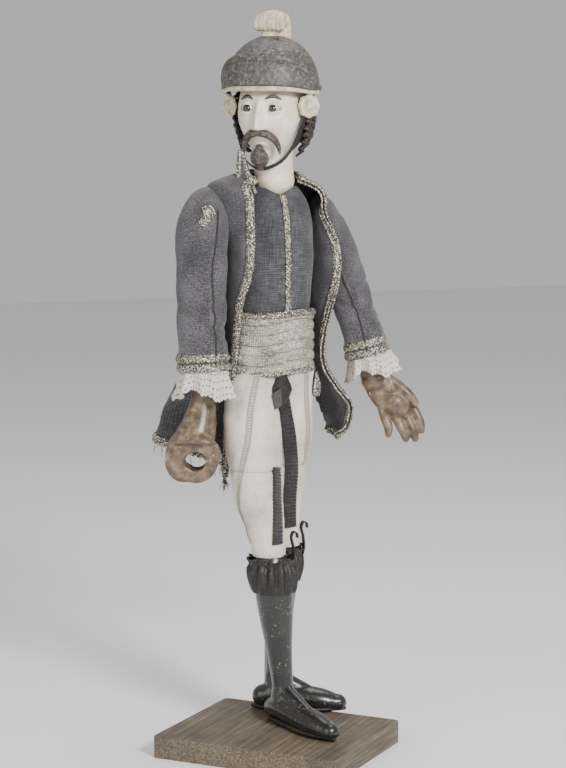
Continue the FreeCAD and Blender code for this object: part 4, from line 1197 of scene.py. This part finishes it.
def buildTrousers():
    for side in ("right", "left"):
        shape = legShape(side)
        hip, knee = joints[f"hip_{side}"]["pos_m"], joints[f"knee_{side}"]["pos_m"]
        thigh, shin = f"thigh_{side}", f"shin_{side}"
        upper = surface(f"trouser_upper_{side}", 88, 80, lambda u, v: shape(u, v * 0.5), trouserCloth,
                        (0.14, 0.09), closed=True)
        hipBend = ((hip[0], hip[1], hip[2] + 0.014), (hip[0], hip[1], hip[2] - 0.016))
        finishCloth(upper, "root", [f"trouser_leg_{side}"],
                    1.2, blendTo=thigh, bend=hipBend)
        lower = surface(f"trouser_lower_{side}", 88, 80, lambda u, v: shape(u, 0.5 + v * 0.5),
                        trouserCloth, (0.11, 0.08), closed=True)
        kneeBend = ((knee[0], knee[1], knee[2] + 0.012), (knee[0], knee[1], knee[2] - 0.012))
        finishCloth(lower, thigh, [], 1.2, blendTo=shin,
                    bend=kneeBend)
        ladderPath = [(0.5 - a / 360, b) for a, b in
                      ((15, 0.04), (20, 0.2), (32, 0.37), (58, 0.55), (78, 0.72), (84, 0.9))] \
            if side == "right" else [(0.5 + a / 360, b) for a, b in
                                     ((22, 0.04), (28, 0.2), (34, 0.37), (36, 0.5))]
        rails = [[], []]
        rungs = []
        count = 64 if side == "right" else 40
        for i in range(count + 1):
            t = i / count
            u, v = onPath(ladderPath, t)
            p = shape(u, v)
            away = (p - shape(u + 0.5, v)).normalized()
            lateral = (shape(u + 0.01, v) - shape(u - 0.01, v)).normalized()
            left, right = (p + lateral * s * 2.1 * mm + away * 1.0 * mm for s in (-1, 1))
            rails[0].append(left)
            rails[1].append(right)
            rungs.append([left, right])
        ladder = strands(f"ladder_braid_{side}", rails + rungs, 0.62, ladderCotton, sides=1)
        carried(ladder, thigh, "trouser_cloth")
    nearPath = [(0.5 + a / 360, b) for a, b in ((34, 0.48), (30, 0.6), (22, 0.75), (14, 0.9))]
    farPath = [(0.5 + a / 360, b) for a, b in ((-52, 0.03), (-40, 0.16), (-20, 0.34), (-6, 0.52),
                                               (0, 0.7), (6, 0.86))]
    for side, path, wide in (("right", nearPath, 10.5), ("left", farPath, 12)):
        piece, length = ribbon(f"trouser_ribbon_{side}", legShape(side, 0.6), path, wide, ribbonDark,
                               liftMm=1.7)
        finishCloth(piece, f"thigh_{side}", [], 0.8,
                    levels=0)


buildTrousers()


def buildFork():
    def flap(u, v):
        half = 8.5 * (1 - abs(2 * v - 1) ** 1.3) + 0.8
        z = 327 - 34 * v
        return at(0.5 + (u - 0.5) * 2 * half, -21.5 + 3 * v - 2.2 * (1 - (2 * u - 1) ** 2), z)
    diamond = surface("fork_gusset", 20, 30, flap, strapLeather, (0.017, 0.034),
                      out=Vector((0, -1, 0)))
    finishCloth(diamond, "root", [], 1.0,
                levels=0)

    def tag(u, v):
        return at(-9 + 7 * u + 2 * v, -24.5 + 1.5 * v, 308 + 4 * u - 15 * v)
    piece = surface("fork_tab", 8, 14, tag, coatCloth, (0.01, 0.015), out=Vector((0, -1, 0)))
    finishCloth(piece, "root", [], 1.0)


buildFork()
print("sash and trousers ready")

boots = {
    "right": {"knee": (-11.5, -25, 174), "ankle": (-1, -28, 48), "toward": (0.28, -0.96), "long": 84,
              "shaft": ((-11.5, -25.2, 172, 11.2), (-10.5, -25.5, 160, 16.2), (-8.5, -26, 138, 16.6),
                        (-6.5, -26.5, 112, 14.4), (-4, -27, 84, 11.2), (-1.5, -28, 56, 9.2),
                        (-1, -28.5, 42, 9.8))},
    "left": {"knee": (12.5, 15, 174), "ankle": (9, 18, 48), "toward": (0.89, -0.45), "long": 72,
             "shaft": ((12.5, 15.2, 172, 11.2), (11.5, 15.5, 160, 16), (11, 16, 138, 16.2),
                       (10.5, 16.5, 112, 14.2), (10, 17.5, 84, 11.2), (9.3, 18, 56, 9.2),
                       (9, 18, 42, 9.8))}}
cuff = {"top": 166, "foot": 137, "flutes": 13}


def buildBoots():
    for side, boot in boots.items():
        rows = boot["shaft"]
        shaft = fused(f"boot_leg_{side}", [limb([at(*row[:3]) for row in rows],
                                                [row[3] for row in rows], sides=32)],
                      bootPaint, 1.3, 3)
        for vert in shaft.data.vertices:
            vert.co.z = max(vert.co.z, axisPoint.z + 44 * mm)
        ankle = Vector(boot["ankle"])
        toward = Vector((*boot["toward"], 0)).normalized()
        across = Vector((-toward.y, toward.x, 0))
        long = boot["long"]

        def sole(reach, side=0.0, z=0.0):
            spot = ankle + toward * reach + across * side
            return at(spot.x, spot.y, z)
        heel, toe = -15, long - 17
        body = [limb([sole(heel + 4, 0, 31), sole(0, 0, 34), sole(toe * 0.42, 0, 31),
                      sole(toe * 0.75, 0, 28.5), sole(toe, 0, 26.5)],
                     (10.5, 12.3, 12.6, 12.0, 8.2), flatten=0.85, across=across),
                limb([sole(0, 0, 51), sole(0, 0, 40)], (9.6, 11)),
                limb([sole(toe * 0.1, 0, 46), sole(toe * 0.5, 0, 36)], (8, 6.5))]
        foot = fused(f"boot_shoe_{side}", body, bootPaint, 1.2, 4)
        floorZ = axisPoint.z + 23.4 * mm
        for vert in foot.data.vertices:
            vert.co.z = max(vert.co.z, floorZ)

        def outline(u, v):
            # the welted sole, a little wider than the shoe, with its stacked heel
            angle = u * math.tau
            back = (heel + toe) / 2
            half = (toe - heel) / 2 + 7
            x = math.cos(angle)
            wide = 12.6 * (1 - 0.22 * smoothstep(-x, 0, 1) - 0.34 * smoothstep(x, 0.45, 1)) \
                * (1 - 0.16 * bell(x, -0.25, 0.3))
            ring, level = ((0.02, 23.7), (1, 23.7), (1.02, 22.2), (1, 20.7),
                           (0.02, 20.7))[round(v * 4)]
            return sole(back + half * x * ring, wide * math.sin(angle) * ring, level)
        welt = surface(f"boot_sole_{side}", 72, 4, outline, bootLeather, (0.2, 0.02), closed=True,
                       capped=True)
        for piece in (foot, welt):
            carried(piece, f"foot_{side}", "boot_paint" if piece is foot else "boot_leather")
        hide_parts(f"boot_foot_{side}")
        carried(shaft, f"shin_{side}", "boot_paint", f"boot_shaft_{side}")

        def gathered(u, v):
            angle = u * math.tau
            z = cuff["top"] + (cuff["foot"] - cuff["top"]) * v
            t = (z - rows[2][2]) / (rows[1][2] - rows[2][2])
            x, y = (rows[2][i] + (rows[1][i] - rows[2][i]) * t for i in (0, 1))
            flute = math.sin(angle * cuff["flutes"] + 0.8 * math.sin(2 * angle) + 2 * v)
            swell = 18.6 + 1.9 * math.sin(math.pi * v) - 1.5 * bell(v, 0.2, 0.09)
            radius = swell + flute * (0.6 + 0.9 * math.sin(math.pi * v)) \
                + (1.3 * flute if v < 0.08 else 0)
            z += 1.5 * math.sin(angle * 5) * (1 - v) + 0.8 * flute * (1 - v)
            return at(x + radius * math.sin(angle), y - radius * math.cos(angle), z)
        top = surface(f"boot_cuff_gathers_{side}", 208, 36, gathered, bootLeather, (0.13, 0.03),
                      closed=True)
        finishCloth(top, f"shin_{side}", [f"boot_cuff_{side}"],
                    1.2, levels=0)

        hook = [(17.5, -4, 156), (19.5, -5, 165), (19, -5, 175), (17, -5.5, 183), (18.5, -6, 188),
                (21.5, -6.5, 187), (22, -6.5, 183)]

        def pull(u, v):
            x, y, z = blendPoint(hook, v)
            knee = boot["knee"]
            return at(knee[0] + x, knee[1] + y + (u - 0.5) * 5, z)
        tagPiece = surface(f"boot_pull_tab_{side}", 6, 60, pull, bootLeather, (0.007, 0.045))
        finishCloth(tagPiece, f"shin_{side}", [], 1.2,
                    levels=0)


buildBoots()
print("boots ready")

hands = {"right": {"wrist": (-63, -2, 309), "tip": (-71.5, -6, 252), "bore": 8.0, "ring": 13.4},
         "left": {"wrist": (91, 0, 322)}}


def buildRightHand():
    spec = hands["right"]
    axis = Vector((-0.342, -0.94, 0))
    tip = Vector(spec["tip"])
    side = Vector((0.94, -0.342, 0))
    up = Vector((0, 0, 1))

    def ring(angle, reach, deep):
        a = math.radians(angle)
        p = tip + side * math.sin(a) * reach + up * math.cos(a) * reach + axis * deep
        return at(*p)
    parts = [limb([at(-63, -2, 312), at(-64.5, -3, 300), at(-68, -5, 284), at(-72, -6, 272)],
                  (11.5, 11.2, 14.5, 17), flatten=1.0)]
    for k, deep in enumerate((-13.5, -4.8, 4.2, 13)):
        reach = spec["ring"] + (0.9, 0.4, 0.2, 0)[k]
        arc = [ring(angle, reach, deep) for angle in range(-40, 228, 22)]
        parts.append(limb(arc, [5.3] * len(arc), flatten=1.0, across=axis, sides=16))
        mass = [ring(angle, reach + extra, deep) for angle, extra in
                ((-158, 0.5), (-125, 3.5), (-95, 4.5), (-65, 4.5), (-35, 4.5), (0, 3.5), (30, 1.5))]
        parts.append(limb(mass, (5, 7.6, 8.6, 9, 9.2, 8.4, 6), across=axis,
                          sides=16))
    thumb = [ring(75, 17, 14), ring(40, 18.5, 17.5), ring(5, 18, 18.5), ring(-28, 16.5, 17)]
    parts.append(limb(thumb, (6, 6, 5.6, 4.6), across=axis, sides=16))
    fist = fused("hand_carving_right", parts, handPaint, 1.1, 1)
    for vert in fist.data.vertices:
        # the front of the closed hand is carved nearly flat
        deep = (vert.co - at(*tip)).dot(axis) / mm
        if deep > 14.5 and vert.co.z < at(*tip).z + 16 * mm:
            vert.co -= axis * (deep - 14.5) * 0.7 * mm
    bore = bmesh.new()
    bmesh.ops.create_cone(bore, cap_ends=True, segments=72, radius1=spec["bore"] * mm,
                          radius2=spec["bore"] * mm, depth=0.09,
                          matrix=Matrix.Translation(at(*tip))
                          @ axis.to_track_quat("Z", "Y").to_matrix().to_4x4())
    carveOut(fist, bore)
    cleft = bmesh.new()
    slant = Matrix((side, axis, up)).transposed().to_4x4()
    bmesh.ops.create_cube(cleft, size=1, matrix=Matrix.Translation(ring(150, 15, 12)) @ slant
                          @ Matrix.Rotation(math.radians(-28), 4, "Y")
                          @ Matrix.Diagonal((1.6 * mm, 0.03, 0.02, 1)))
    carveOut(fist, cleft)
    carried(fist, "hand_right", "hand_paint", "hand_right")


def buildLeftHand():
    palmSide = Vector((0.98, 0, 0.2)).normalized()
    parts = [limb([at(89, 1, 334), at(91, 0, 322), at(94, -1, 312)],
                  (10.8, 10.6, 12), flatten=0.85, across=palmSide),
             limb([at(93, -1, 315), at(99, -2, 307), at(107, -4, 298), at(112, -5, 291)],
                  (11, 14.5, 16, 14.5), flatten=0.5, across=palmSide)]
    fingers = [([(100, -3, 293), (101.5, -6, 281), (104, -9, 271), (104.6, -8, 264)], 4.5),
               ([(108.5, -4, 291), (113, -7.5, 278), (117.5, -11, 267), (119.5, -12, 260)], 4.7),
               ([(116, -5, 292), (121.5, -9, 279), (126, -13, 267), (127.8, -14, 260)], 4.7),
               ([(121.5, -6, 296), (127.5, -10, 286), (132, -14, 275), (133.6, -14.5, 267)], 4.4),
               ([(101, -4, 313), (110, -9, 309), (119, -15, 301), (126, -18, 292.5)], 5.2)]
    for line, radius in fingers:
        parts.append(limb([at(*p) for p in line],
                          [radius * m for m in (1.1, 1.0, 0.92, 0.68)], sides=16))
    parts.append(limb([at(99, -4, 311), at(107, -8, 303)], (8.5, 6.5)))
    palm = fused("hand_carving_left", parts, handPaint, 0.95, 4)
    carried(palm, "hand_left", "hand_paint", "hand_left")


buildRightHand()
buildLeftHand()
print("hands ready")
